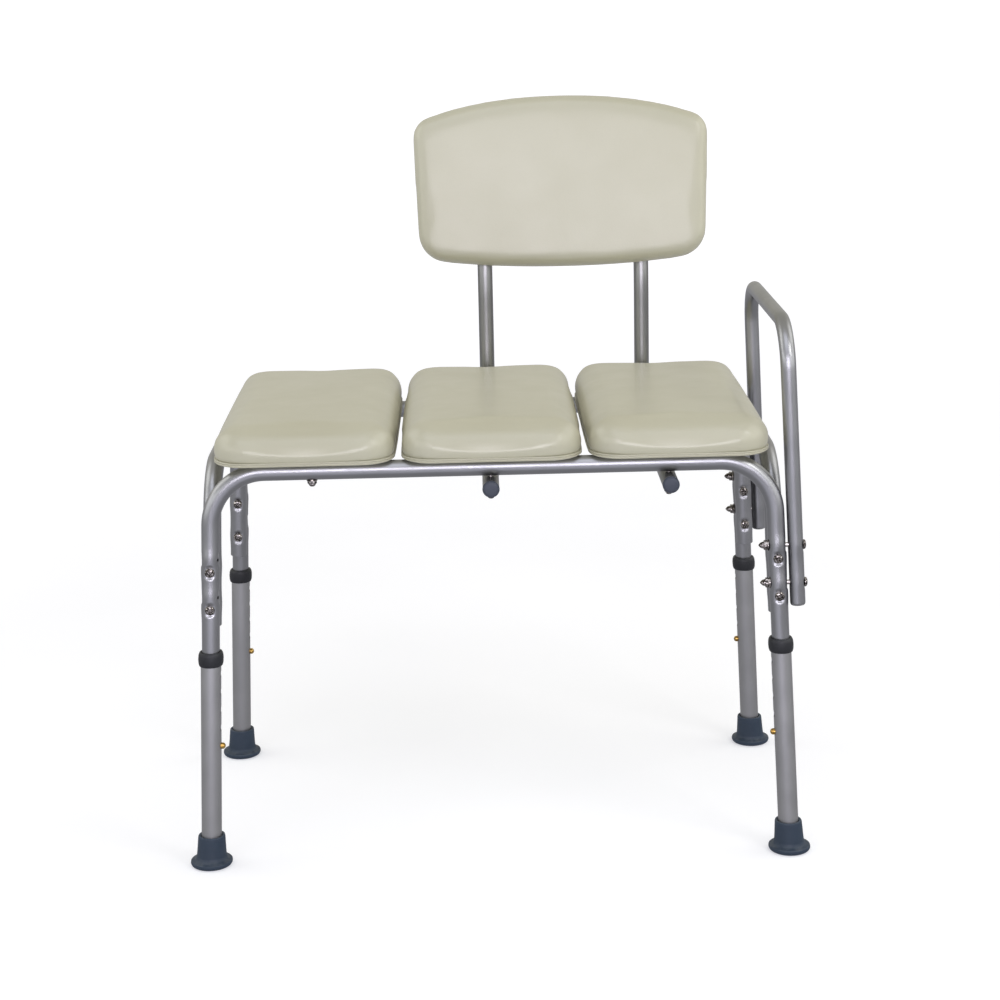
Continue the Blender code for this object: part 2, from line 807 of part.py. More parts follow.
def back_panel_frame():
    """The backrest's centre on the posts' front, and its rotation: local +Z faces the sitter."""
    centre = Vector((BACK_PANEL_X, post_y_at(BACK_MIDDLE_HEIGHT), BACK_MIDDLE_HEIGHT))
    rotation = Matrix.Rotation(math.pi / 2 - BACK_RECLINE, 3, "X")
    forward = rotation @ Vector((0, 0, 1))
    return centre + forward * (BACK_TUBE + GAP), rotation.to_quaternion()


def make_backrest(paint):
    """The backrest's tube frame with two end caps, and the padded panel screwed to it."""
    corners = back_frame_corners()
    front, rotation = back_panel_frame()
    forward = rotation @ Vector((0, 0, 1))
    upward = rotation @ Vector((0, 1, 0))
    holes = []
    for side, x in enumerate((corners[1].x, corners[-2].x)):
        for end in ENDS.values():
            rail_y = leg_point(1, end, RAIL_HEIGHT).y
            centre = Vector((bar_x_at(corners, rail_y)[side], rail_y, corners[0].z))
            holes.append((centre, (0, 0, 1), BOLT_SHANK + HOLE_PLAY, THROUGH))
        for offset in BACK_SCREW_OFFSETS.values():
            centre = front + upward * offset - forward * (BACK_TUBE + GAP)
            centre.x = x
            holes.append((centre, forward, BOLT_SHANK + HOLE_PLAY, THROUGH))
    radii = [BACK_BEND, BACK_LEAN_BEND, BACK_BEND, BACK_BEND, BACK_LEAN_BEND, BACK_BEND]
    path = bent_path(corners, radii, THIN_BEND_STEPS)
    place_tube("backrest_frame", path, BACK_TUBE, THIN_WALL, paint["frame_aluminium"], holes)

    plug_radius = BACK_TUBE * math.cos(math.pi / TUBE_SIDES) - THIN_WALL - GAP
    cap_profile = [
        (0.0, -CAP_NOSE),
        *arc_points((CAP_RADIUS - CAP_EDGE, CAP_EDGE - CAP_NOSE), CAP_EDGE, -math.pi / 2, 0.0, 2),
        (CAP_RADIUS, -GAP),
        (plug_radius, -GAP),
        (plug_radius, CAP_DEPTH),
        (0.0, CAP_DEPTH),
    ]
    for side_name, corner in (("left", corners[0]), ("right", corners[-1])):
        name = f"backrest_cap_{side_name}"
        data = turned_mesh(name, cap_profile, TUBE_SIDES)
        place(name, data, paint["cap_plastic"], corner, aim((0, 1, 0)))

    board_levels = [(0.0, 0.0), (0.0, BACK_BOARD)]
    board = stacked_mesh("backrest_board", backrest_outline(BACK_BOARD_INSET), board_levels)
    board_item = place("backrest_board", board, paint["cream_base"], front, rotation)
    padding_levels = rounded_edge(
        BACK_BOARD + GAP, BACK_BOARD + BACK_PADDING, BACK_PADDING_IN, BACK_PADDING_DOWN
    )
    padding = stacked_mesh("backrest_cushion", backrest_outline(), padding_levels)
    place("backrest_cushion", padding, paint["cream_vinyl"], front, rotation)

    screw_holes = []
    for x in (corners[1].x, corners[-2].x):
        for offset in BACK_SCREW_OFFSETS.values():
            centre = front + upward * offset + forward * (GAP + HOLE_PLAY)
            centre.x = x
            screw_holes.append((centre, forward, BOLT_SHANK + HOLE_PLAY, SCREW_BITE))
    drill(board_item, screw_holes)
    length = 2 * BACK_TUBE + 2 * GAP + SCREW_BITE
    for side_name, x in (("left", corners[1].x), ("right", corners[-2].x)):
        for level, offset in BACK_SCREW_OFFSETS.items():
            name = f"backrest_screw_{side_name}_{level}"
            start = front + upward * offset - forward * (2 * BACK_TUBE + 2 * GAP)
            start.x = x
            data = turned_mesh(name, bolt_profile(length), BOLT_SIDES)
            place(name, data, paint["nickel"], start, rotation)


def stud_across(corners, section, rail_y):
    """A seat stud's place across: through a backrest bar, or for the left section in line with them."""
    left_bar, right_bar = bar_x_at(corners, rail_y)
    return (2 * left_bar - right_bar, left_bar, right_bar)[section]


def make_seat(paint):
    """Three padded sections, each a cushion on a base, held by bolts up through the rails."""
    base_bottom = RAIL_HEIGHT + FRAME_TUBE + GAP
    base_top = base_bottom + BASE_THICKNESS
    rail_bottom = RAIL_HEIGHT - FRAME_TUBE
    corners = back_frame_corners()
    bar_bottom = corners[0].z - BACK_TUBE
    outline = rounded_rectangle(PAD_WIDTH / 2, PAD_HALF_DEPTH, PAD_CORNER)
    for index, section in enumerate(("left", "middle", "right")):
        centre_x = (index - 1) * PAD_PITCH
        base_levels = [
            (BASE_INSET + BASE_BEVEL, 0.0),
            (BASE_INSET, BASE_BEVEL),
            (BASE_INSET, BASE_THICKNESS),
        ]
        base = stacked_mesh(f"seat_base_{section}", outline, base_levels)
        location = Vector((centre_x, 0.0, base_bottom))
        base_item = place(f"seat_base_{section}", base, paint["cream_base"], location)
        pad_levels = rounded_edge(0.0, PAD_TOP - base_top - GAP, PAD_CROWN_IN, PAD_CROWN_DOWN)
        pad = stacked_mesh(f"seat_cushion_{section}", outline, pad_levels)
        location = Vector((centre_x, 0.0, base_top + GAP))
        place(f"seat_cushion_{section}", pad, paint["cream_vinyl"], location)

        holes = []
        for end_name, end in ENDS.items():
            rail_y = leg_point(1, end, RAIL_HEIGHT).y
            stud_x = stud_across(corners, index, rail_y)
            nut_at = (rail_bottom if index == 0 else bar_bottom) - GAP
            name = f"seat_stud_{section}_{end_name}"
            data = turned_mesh(name, stud_profile(base_bottom + SCREW_BITE - nut_at), BOLT_SIDES)
            place(name, data, paint["nickel"], (stud_x, rail_y, nut_at))
            hole_middle = Vector((stud_x, rail_y, base_bottom + GAP + HOLE_PLAY))
            holes.append((hole_middle, (0, 0, 1), BOLT_SHANK + HOLE_PLAY, SCREW_BITE))
        drill(base_item, holes)


def main():
    clear_scene()
    paint = make_materials()
    make_end_rails(paint)
    make_side_rails(paint)
    make_legs(paint)
    make_leg_bolts(paint)
    make_armrest(paint)
    make_backrest(paint)
    make_seat(paint)


main()
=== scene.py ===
"""Looks of the bath transfer bench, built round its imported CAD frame.

Metres, +Z up, -Y towards the bench's front edge, +X towards the armrest, as in the part.
The dimensions repeat the part's own. The bolts, nuts, studs and seat pads take their places
from the frame's boxes.
"""

import math

import bmesh
import bpy
import numpy as np
from mathutils import Matrix, Vector


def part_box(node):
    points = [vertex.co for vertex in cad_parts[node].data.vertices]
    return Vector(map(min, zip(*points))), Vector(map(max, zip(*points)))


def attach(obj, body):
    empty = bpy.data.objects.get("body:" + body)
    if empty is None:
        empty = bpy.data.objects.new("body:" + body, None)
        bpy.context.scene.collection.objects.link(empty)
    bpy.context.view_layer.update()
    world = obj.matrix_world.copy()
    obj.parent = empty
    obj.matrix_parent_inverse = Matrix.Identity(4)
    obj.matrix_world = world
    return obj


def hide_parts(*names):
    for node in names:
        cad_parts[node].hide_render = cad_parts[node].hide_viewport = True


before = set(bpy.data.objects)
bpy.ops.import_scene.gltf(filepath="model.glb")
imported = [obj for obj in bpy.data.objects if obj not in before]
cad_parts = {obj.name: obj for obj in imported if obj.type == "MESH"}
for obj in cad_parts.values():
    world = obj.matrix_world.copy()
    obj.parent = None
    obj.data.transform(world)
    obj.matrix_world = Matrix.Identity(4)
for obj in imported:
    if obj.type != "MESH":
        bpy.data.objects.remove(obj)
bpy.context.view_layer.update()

# The frame's dimensions
FLOOR_HALF_X = 0.3660
FLOOR_HALF_Y = 0.1967
LEAN_X = 0.0450
LEAN_Y = 0.0343
RAIL_HEIGHT = 0.5037
RAIL_BEND = 0.068
SIDE_RAIL_BEND = 0.060
FRAME_TUBE = 0.0111
FRAME_WALL = 0.0012
FRAME_LEG_END = 0.120
SIDE_RAIL_END = 0.306
SETBACK = 0.0225
LEG_TUBE = 0.0127
LEG_WALL = 0.0010
LEG_TOP = 0.275
LEG_BOTTOM = 0.0092
HOLE_PITCH = 0.0233
HOLE_COUNT = 5
BUTTON_HEIGHT = 0.157
BUTTON_RADIUS = 0.0040
BUTTON_TIP = 0.0180
COLLAR_BOTTOM = 0.2612
COLLAR_TOP = 0.2792
LEG_BOLT_HEIGHTS = {"upper": 0.3814, "lower": 0.3339}
ARM_BOLT_HEIGHTS = {"upper": 0.3965, "lower": 0.3490}
ARM_TUBE = 0.0095
THIN_WALL = 0.0012
ARM_OFFSET = 0.0232
ARM_HEIGHT = 0.6680
ARM_BEND = 0.055
ARM_END = 0.3225

# Bolts and nuts, and how deep they press the tubes
BOLT_SHANK = 0.0030
BOLT_HEAD = 0.0061
HEAD_HEIGHT = 0.0034
LEG_FLAT = 0.0017
ARM_FLAT = 0.0008
ARM_HEAD_FLAT = 0.0005
NUT_RADIUS = 0.0058
NUT_HEIGHT = 0.0045
THREAD_LEFT = 0.0032
STUD_NUT_HEIGHT = 0.0085

# The backrest and the pads
BACK_TUBE = 0.0102
BACK_CENTRE_X = 0.107
BACK_HALF_BARS = 0.109
BACK_HALF_POSTS = 0.1075
BACK_BAR_FRONT = -0.208
BACK_BAR_DROP = 0.0003
BACK_POST_Y = 0.224
BACK_BEND = 0.040
BACK_FRAME_TOP = 0.868
BACK_RECLINE = math.radians(8.0)
BACK_LEAN_HEIGHT = 0.672
BACK_LEAN_BEND = 0.350
BACK_PANEL_X = 0.1060
BACK_MIDDLE_HEIGHT = 0.8035
BACK_WIDTH = 0.4035
BACK_HEIGHT = 0.2335
BACK_CROWN = 0.033
BACK_BELLY = 0.015
BACK_TOP_CORNER = 0.030
BACK_LOW_CORNER = 0.040
BACK_TAPER = 0.006
BACK_BOARD = 0.008
BACK_PADDING = 0.030
PAD_CORNER = 0.040
PAD_SWELL = 0.0026
GAP = 0.0003

# How finely the visible pieces are cut, and where their shading breaks
TUBE_SIDES = 40
COARSE = 0.018
FINE = 0.0014
PRESS_REACH = 0.032
BEND_STEPS = 18
PAD_SPACING = 0.0045
SMOOTH_ANGLE = math.radians(35.0)
PAD_SMOOTH_ANGLE = math.radians(60.0)

SIDES = {"left": -1.0, "right": 1.0}
ENDS = {"front": -1.0, "rear": 1.0}
CORNERS = {f"{end}_{side}": (SIDES[side], ENDS[end]) for end in ENDS for side in SIDES}
UP = Vector((0, 0, 1))
FRONT = Vector((0, -1, 0))
RIGHT = Vector((1, 0, 0))


# ---------------------------------------------------------------- finishes


class Nodes:
    """A node tree, with short calls for the nodes that are used most."""

    def __init__(self, tree):
        self.tree = tree

    def add(self, kind, links=(), **settings):
        node = self.tree.nodes.new(kind)
        for key, value in settings.items():
            if hasattr(node, key):
                setattr(node, key, value)
            else:
                node.inputs[key.replace("_", " ")].default_value = value
        for socket, source in dict(links).items():
            self.tree.links.new(source, node.inputs[socket])
        return node

    def remap(self, value, low, high, to_low=0.0, to_high=1.0, curve="LINEAR"):
        node = self.add("ShaderNodeMapRange", {"Value": value}, interpolation_type=curve)
        numbers = {"From Min": low, "From Max": high, "To Min": to_low, "To Max": to_high}
        for socket, number in numbers.items():
            node.inputs[socket].default_value = number
        return node.outputs["Result"]

    def times(self, first, second):
        node = self.add("ShaderNodeMath", operation="MULTIPLY")
        self.tree.links.new(first, node.inputs[0])
        self.tree.links.new(second, node.inputs[1])
        return node.outputs[0]

    def tint(self, share, first, second):
        """A colour that goes from first to second. Either may be a colour or a socket."""
        node = self.add("ShaderNodeMix", data_type="RGBA")
        self.tree.links.new(share, node.inputs["Factor"])
        for socket, colour in ((node.inputs[6], first), (node.inputs[7], second)):
            if isinstance(colour, tuple):
                socket.default_value = (*colour, 1.0)
            else:
                self.tree.links.new(colour, socket)
        return node.outputs[2]


class Finish(Nodes):
    """A material, with short calls for what the finishes are made of."""

    def __init__(self, name, **sockets):
        self.material = bpy.data.materials.new(name)
        self.material.use_nodes = True
        super().__init__(self.material.node_tree)
        self.shader = self.tree.nodes["Principled BSDF"]
        for socket, value in sockets.items():
            self.shader.inputs[socket.replace("_", " ")].default_value = value
        self.place = self.add("ShaderNodeTexCoord").outputs["Object"]
        self.normal = None

    def noise(self, scale, detail=3.0, place=None):
        links = {"Vector": place or self.place}
        return self.add("ShaderNodeTexNoise", links, Scale=scale, Detail=detail).outputs["Fac"]

    def stretched(self, source, scale):
        node = self.add("ShaderNodeMapping", {"Vector": source})
        node.inputs["Scale"].default_value = scale
        return node.outputs["Vector"]

    def colour(self, source):
        self.tree.links.new(source, self.shader.inputs["Base Color"])

    def roughness(self, value, low, high):
        self.tree.links.new(self.remap(value, 0.3, 0.7, low, high), self.shader.inputs["Roughness"])

    def bump(self, height, depth):
        """Adds relief of that depth in metres on top of what is there."""
        links = {"Height": height}
        if self.normal:
            links["Normal"] = self.normal
        self.normal = self.add("ShaderNodeBump", links, Distance=depth).outputs["Normal"]
        self.tree.links.new(self.normal, self.shader.inputs["Normal"])

    def worn_edges(self, base, worn, low=0.52, high=0.60):
        """The worn colour where the surface is sharply convex."""
        pointed = self.add("ShaderNodeNewGeometry").outputs["Pointiness"]
        patchy = self.remap(self.noise(60.0), 0.35, 0.65)
        return self.tint(self.times(self.remap(pointed, low, high), patchy), base, worn)


def aluminium(name, colour, dark, rough_low, rough_high):
    """Satin anodised tube: fine lines along its length, faint blotches, a few rubbed marks."""
    finish = Finish(name, Metallic=1.0)
    along = finish.add("ShaderNodeAttribute", attribute_name="tube_place").outputs["Vector"]
    drawn = finish.noise(1500.0, 2.0, finish.stretched(along, (1.0, 1.0, 0.02)))
    blotch = finish.noise(14.0, 4.0)
    grain = finish.noise(2600.0, 2.0)
    rubbed = finish.noise(260.0, 3.0, finish.stretched(along, (1.0, 1.0, 0.12)))
    base = finish.tint(finish.remap(blotch, 0.3, 0.7), dark, colour)
    base = finish.tint(finish.remap(drawn, 0.35, 0.75, 0.0, 0.35), base, dark)
    bright = tuple(min(1.0, c * 1.12) for c in colour)
    base = finish.tint(finish.remap(rubbed, 0.66, 0.78, 0.0, 0.5), base, bright)
    finish.colour(base)
    finish.roughness(finish.noise(32.0, 4.0), rough_low, rough_high)
    finish.bump(drawn, 0.000006)
    finish.bump(grain, 0.000010)
    return finish.material


def vinyl(name, colour, dark, rough_low, rough_high):
    """Padded vinyl: pebbled grain, the foam's soft unevenness, and slightly soiled patches."""
    finish = Finish(name, Specular_IOR_Level=0.5, Coat_Weight=0.50, Coat_Roughness=0.25)
    patch = finish.noise(7.0, 4.0)
    speck = finish.noise(420.0, 2.0)
    base = finish.tint(finish.remap(patch, 0.32, 0.68), colour, dark)
    specks = finish.remap(speck, 0.55, 0.8, 0.0, 0.10)
    base = finish.tint(specks, base, tuple(c * 0.72 for c in colour))
    finish.colour(base)
    finish.roughness(finish.noise(22.0, 4.0), rough_low, rough_high)
    links = {"Vector": finish.place}
    cells = finish.add("ShaderNodeTexVoronoi", links, feature="SMOOTH_F1", Scale=620.0)
    finish.bump(finish.noise(26.0, 2.0), 0.0006)
    finish.bump(cells.outputs["Distance"], 0.00007)
    return finish.material


def moulded(name, colour, pale, rough_low, rough_high, grain=900.0, depth=0.00005, dust=0.0):
    """Moulded rubber or plastic: fine grain, mottling, rubbed edges, and dust on what faces up."""
    finish = Finish(name, Specular_IOR_Level=0.35)
    mottle = finish.noise(45.0, 4.0)
    base = finish.tint(finish.remap(mottle, 0.3, 0.7, 0.0, 0.5), colour, pale)
    base = finish.worn_edges(base, tuple(min(1.0, c * 2.0 + 0.02) for c in pale))
    if dust:
        facing = finish.add("ShaderNodeNewGeometry").outputs["Normal"]
        upward = finish.add("ShaderNodeSeparateXYZ", {"Vector": facing}).outputs["Z"]
        patchy = finish.remap(finish.noise(90.0), 0.3, 0.7)
        settled = finish.times(finish.remap(upward, 0.2, 0.95, 0.0, dust), patchy)
        base = finish.tint(settled, base, (0.32, 0.33, 0.34))
    finish.colour(base)
    finish.roughness(finish.noise(80.0, 3.0), rough_low, rough_high)
    finish.bump(finish.noise(grain, 2.0), depth)
    return finish.material


def plated(name, colour, tarnish_and_dark_reflection, rough_low, rough_high):
    """Plated or bare metal hardware: cloudy dark patches, partly tarnished metal and partly painted
    dark reflection, fine scratches, brighter edges.
    """
    finish = Finish(name, Metallic=1.0)
    cloud = finish.noise(420.0, 3.0)
    scratches = finish.noise(1800.0, 2.0, finish.stretched(finish.place, (1.0, 0.15, 0.4)))
    # Sharp near-black patches: partly tarnished metal, partly painted dark reflections that set off
    # bright glints
    base = finish.tint(finish.remap(cloud, 0.40, 0.56), colour, tarnish_and_dark_reflection)
    base = finish.worn_edges(base, tuple(min(1.0, c * 1.5 + 0.08) for c in colour))
    finish.colour(base)
    finish.roughness(cloud, rough_low, rough_high)
    finish.bump(scratches, 0.000012)
    return finish.material


def make_finishes():
    return {
        "frame_aluminium": aluminium(
            "satin_tube", (0.335, 0.338, 0.350), (0.300, 0.303, 0.312), 0.31, 0.38
        ),
        # The backrest tube: the frame's aluminium made darker, painted shade for the dim
        # reflections of its posts
        "shaded_aluminium": aluminium(
            "backrest_tube", (0.255, 0.256, 0.248), (0.226, 0.227, 0.220), 0.31, 0.38
        ),
        "leg_aluminium": aluminium(
            "extension_tube", (0.385, 0.385, 0.390), (0.350, 0.350, 0.355), 0.42, 0.52
        ),
        "cream_vinyl": vinyl(
            "cream_vinyl", (0.455, 0.440, 0.335), (0.435, 0.418, 0.312), 0.38, 0.48
        ),
        "cream_base": moulded("cream_base", (0.42, 0.405, 0.30), (0.46, 0.445, 0.335), 0.40, 0.52),
        "slate_rubber": moulded(
            "slate_rubber", (0.019, 0.034, 0.060), (0.029, 0.046, 0.076), 0.50, 0.68,
            grain=700.0, depth=0.00007, dust=0.16,
        ),
        "collar_plastic": moulded(
            "collar_plastic", (0.011, 0.012, 0.016), (0.018, 0.019, 0.024), 0.42, 0.58, dust=0.08
        ),
        "plug_plastic": moulded(
            "plug_plastic", (0.13, 0.133, 0.142), (0.15, 0.153, 0.162), 0.42, 0.56
        ),
        "cap_plastic": moulded(
            "cap_plastic", (0.040, 0.048, 0.070), (0.052, 0.060, 0.085), 0.42, 0.56
        ),
        # The darker second colour of the nickel and of the brass: partly tarnished metal, partly
        # painted dark reflection
        "nickel": plated("nickel_with_painted_reflections", (0.42, 0.39, 0.37), (0.035, 0.030, 0.027), 0.10, 0.24),
        "brass": plated("brass", (0.60, 0.40, 0.12), (0.30, 0.17, 0.04), 0.12, 0.28),
    }


# ---------------------------------------------------------------- meshes


def smoothstep(value, low, high):
    share = min(1.0, max(0.0, (value - low) / (high - low)))
    return share * share * (3 - 2 * share)


def leg_point(side, end, height):
    """A point on a leg's axis."""
    x = side * (FLOOR_HALF_X - LEAN_X * height)
    return Vector((x, end * (FLOOR_HALF_Y - LEAN_Y * height), height))


def leg_direction(side, end):
    """Down and outwards along a leg."""
    return Vector((side * LEAN_X, end * LEAN_Y, -1.0)).normalized()


def fillet(before, corner, after, radius):
    """The arc that rounds a corner: its centre, and the spokes to its two ends."""
    back = (before - corner).normalized()
    ahead = (after - corner).normalized()
    half_angle = back.angle(ahead) / 2
    centre = corner + (back + ahead).normalized() * (radius / math.sin(half_angle))
    reach = radius / math.tan(half_angle)
    return centre, corner + back * reach - centre, corner + ahead * reach - centre


def bent_path(corners, radii):
    """Straight stretches whose inner corners are rounded, each to its own bend radius."""
    path = [corners[0].copy()]
    for before, corner, after, radius in zip(corners, corners[1:], corners[2:], radii):
        centre, start, end = fillet(before, corner, after, radius)
        sweep = start.angle(end)
        for step in range(BEND_STEPS + 1):
            share = step / BEND_STEPS
            spoke = start * math.sin((1 - share) * sweep) + end * math.sin(share * sweep)
            path.append(centre + spoke / math.sin(sweep))
    path.append(corners[-1].copy())
    return path


def stations(path, presses):
    """The path with extra points, closely spaced where the tube is pressed."""
    points = [path[0]]
    reach = 12
    for start, end in zip(path, path[1:]):
        run = end - start
        length = run.length
        count = max(1, math.ceil(length / COARSE))
        marks = [length * i / count for i in range(1, count)]
        for spot, _, _ in presses:
            middle = (spot - start).dot(run) / length
            if (spot - start - run * (middle / length)).length < FINE:
                marks += [middle + FINE * i for i in range(-reach, reach + 1)]
        last = 0.0
        for mark in sorted(marks):
            if mark > last + FINE * 0.6 and mark < length - FINE * 0.6:
                points.append(start + run * (mark / length))
                last = mark
        points.append(end)
    return points


def pressed(point, tangent, radius, presses):
    """Where a tube wall's point goes: flat under a bolt head or nut, and wider across it."""
    for spot, direction, depth in presses:
        offset = point - spot
        if offset.length > PRESS_REACH:
            continue
        along = offset.dot(tangent)
        across = tangent.cross(direction).normalized()
        height = offset.dot(direction)
        sideways = offset.dot(across)
        swell = math.exp(-((along / 0.0120) ** 2))
        point = point + across * (sideways * 0.060 * swell)
        if height > 0:
            seat = min(height, radius - depth)
            share = smoothstep(math.hypot(along, sideways), 0.0066, 0.0098)
            point = point + direction * ((seat - height) * (1 - share))
    return point


def in_scene(name, data):
    item = bpy.data.objects.new(name, data)
    bpy.context.scene.collection.objects.link(item)
    return item


def object_of(name, mesh):
    """Turns a bmesh into an object."""
    data = bpy.data.meshes.new(name)
    mesh.to_mesh(data)
    mesh.free()
    return in_scene(name, data)


def evaluated_mesh(piece):
    """A new mesh of what the piece's modifiers make of it."""
    depsgraph = bpy.context.evaluated_depsgraph_get()
    return bpy.data.meshes.new_from_object(piece.evaluated_get(depsgraph))


def new_piece(
    name, mesh, material, slot, stands_for, body="bench_frame", smooth_angle=SMOOTH_ANGLE
):
    """Turns a bmesh into a named piece that rides on a body and stands for CAD nodes."""
    bmesh.ops.recalc_face_normals(mesh, faces=mesh.faces)
    return adopt(object_of(name, mesh), material, slot, stands_for, body, smooth_angle)


def adopt(piece, material, slot, stands_for, body, smooth_angle):
    data = piece.data
    data.materials.clear()
    data.materials.append(material)
    for face in data.polygons:
        face.use_smooth = True
    data.set_sharp_from_angle(angle=smooth_angle)
    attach(piece, body)
    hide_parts(*stands_for)
    return piece


def bridge(mesh, first, second):
    count = len(first)
    for i in range(count):
        j = (i + 1) % count
        mesh.faces.new((first[i], first[j], second[j], second[i]))


def loft(mesh, rings):
    """Walls through rings of points, and a flat face on the first and the last."""
    for first, second in zip(rings, rings[1:]):
        bridge(mesh, first, second)
    mesh.faces.new(rings[0])
    mesh.faces.new(rings[-1])


def tube_bmesh(path, outer, wall, presses=(), sides=TUBE_SIDES):
    """A hollow tube with softened rims. It keeps each point's place along and round the tube."""
    points = stations(path, presses)
    ease = 0.0005
    first = (points[1] - points[0]).normalized()
    last = (points[-1] - points[-2]).normalized()
    points[1:1] = [points[0] + first * ease]
    points[-1:-1] = [points[-1] - last * ease]
    runs = [(b - a).normalized() for a, b in zip(points, points[1:])]
    mesh = bmesh.new()
    place = mesh.verts.layers.float_vector.new("tube_place")
    across = runs[0].orthogonal().normalized()
    walls = ([], [])
    travelled = 0.0
    for index, point in enumerate(points):
        if index:
            travelled += (point - points[index - 1]).length
        before = runs[max(index - 1, 0)]
        after = runs[min(index, len(runs) - 1)]
        tangent = (before + after).normalized()
        across = (across - tangent * across.dot(tangent)).normalized()
        other = tangent.cross(across)
        rim = ease if index in (0, len(points) - 1) else 0.0
        for rings, radius in zip(walls, (outer - rim, outer - wall + rim)):
            ring = []
            for i in range(sides):
                angle = math.tau * i / sides
                spoke = across * math.cos(angle) + other * math.sin(angle)
                vert = mesh.verts.new(pressed(point + spoke * radius, tangent, radius, presses))
                vert[place] = (math.cos(angle) * radius, math.sin(angle) * radius, travelled)
                ring.append(vert)
            rings.append(ring)
    for rings in walls:
        for one, two in zip(rings, rings[1:]):
            bridge(mesh, one, two)
    for end in (0, -1):
        bridge(mesh, walls[0][end], walls[1][end])
    return mesh


def drill(piece, holes):
    """Cuts round holes right away: each is (centre, direction, radius, half length)."""
    mesh = bmesh.new()
    for centre, direction, radius, half_length in holes:
        bmesh.ops.create_cone(
            mesh, cap_ends=True, segments=32, radius1=radius, radius2=radius,
            depth=2 * half_length, matrix=aimed(centre, direction),
        )
    cut_away(piece, mesh)


def cut_away(piece, mesh):
    """Takes a bmesh's volume out of a piece."""
    cutter = object_of("cutter", mesh)
    cut = piece.modifiers.new("cut", "BOOLEAN")
    cut.operation = "DIFFERENCE"
    cut.object = cutter
    result = evaluated_mesh(piece)
    piece.modifiers.remove(cut)
    piece.data = result
    bpy.data.objects.remove(cutter)


def soften(points, radius, steps=4):
    """A (radius, height) profile with its inner corners rounded."""
    soft = [points[0]]
    for before, corner, after in zip(points, points[1:], points[2:]):
        corner = Vector(corner)
        back = Vector(before) - corner
        ahead = Vector(after) - corner
        reach = min(radius, back.length * 0.45, ahead.length * 0.45)
        start = corner + back.normalized() * reach
        end = corner + ahead.normalized() * reach
        for step in range(steps + 1):
            share = step / steps
            point = start * (1 - share) ** 2 + corner * 2 * share * (1 - share) + end * share**2
            soft.append(tuple(point))
    soft.append(points[-1])
    return soft


def turned_bmesh(profile, sides, matrix, lean=(0.0, 0.0), ring=False, mesh=None):
    """A solid turned about +Z from (radius, height) pairs. lean shifts each ring by its height."""
    mesh = mesh or bmesh.new()
    rings = []
    for radius, height in profile:
        centre = Vector((lean[0] * height, lean[1] * height, height))
        if radius <= 0.0:
            rings.append([mesh.verts.new(matrix @ centre)])
            continue
        circle = []
        for i in range(sides):
            angle = math.tau * (i + 0.5) / sides
            spoke = Vector((math.cos(angle), math.sin(angle), 0.0)) * radius
            circle.append(mesh.verts.new(matrix @ (centre + spoke)))
        rings.append(circle)
    pairs = list(zip(rings, rings[1:]))
    if ring:
        pairs.append((rings[-1], rings[0]))
    for first, second in pairs:
        if len(first) == 1 or len(second) == 1:
            tip, circle = (first, second) if len(first) == 1 else (second, first)
            for i in range(sides):
                mesh.faces.new((tip[0], circle[i], circle[(i + 1) % sides]))
        else:
            bridge(mesh, first, second)
    return mesh


def aimed(point, direction):
    """The placement that puts the origin at a point and turns +Z to a direction."""
    turn = Vector(direction).to_track_quat("Z", "Y").to_matrix().to_4x4()
    return Matrix.Translation(point) @ turn


# ---------------------------------------------------------------- frame tubes


def leg_presses(side, end, setback, head_side):
    """Flats where the leg bolts clamp: under the head at the front, under the nut at the rear."""
    presses = []
    for height in LEG_BOLT_HEIGHTS.values():
        spot = leg_point(side, end, height) - Vector((0, end * setback, 0))
        presses.append((spot, head_side, LEG_FLAT))
    return presses


def arm_presses(side, end):
    """Flats where the armrest bolts pass. The left legs have them too, for an armrest there."""
    presses = []
    for height in ARM_BOLT_HEIGHTS.values():
        spot = leg_point(side, end, height)
        presses += [(spot, RIGHT, ARM_FLAT), (spot, -RIGHT, ARM_FLAT)]
    return presses


def make_frame(paint):
    metal = paint["frame_aluminium"]
    for end_name, end in ENDS.items():
        corners = [
            leg_point(-1, end, FRAME_LEG_END),
            leg_point(-1, end, RAIL_HEIGHT),
            leg_point(1, end, RAIL_HEIGHT),
            leg_point(1, end, FRAME_LEG_END),
        ]
        outside = Vector((0, end, 0))
        presses = []
        for side in (-1, 1):
            presses += leg_presses(side, end, 0.0, outside) + arm_presses(side, end)
        path = bent_path(corners, [RAIL_BEND] * 2)
        mesh = tube_bmesh(path, FRAME_TUBE, FRAME_WALL, presses)
        node = f"{end_name}_rail"
        rail = new_piece(f"{node}_tube", mesh, metal, "frame_aluminium", [node])
        holes = []
        towards = (RIGHT * 0.87 + Vector((0, end * 0.5, 0))).normalized()
        for height in ARM_BOLT_HEIGHTS.values():
            centre = leg_point(-1, end, height) + towards * FRAME_TUBE
            holes.append((centre, towards, 0.0022, 0.004))
        drill(rail, holes)

    turns = ((-1, SIDE_RAIL_END), (-1, RAIL_HEIGHT), (1, RAIL_HEIGHT), (1, SIDE_RAIL_END))
    for side_name, side in SIDES.items():
        corners = [
            leg_point(side, end, height) - Vector((0, end * SETBACK, 0)) for end, height in turns
        ]
        presses = leg_presses(side, -1, SETBACK, -FRONT) + leg_presses(side, 1, SETBACK, FRONT)
        mesh = tube_bmesh(bent_path(corners, [SIDE_RAIL_BEND] * 2), FRAME_TUBE, FRAME_WALL, presses)
        node = f"{side_name}_side_rail"
        new_piece(f"{node}_tube", mesh, metal, "frame_aluminium", [node])


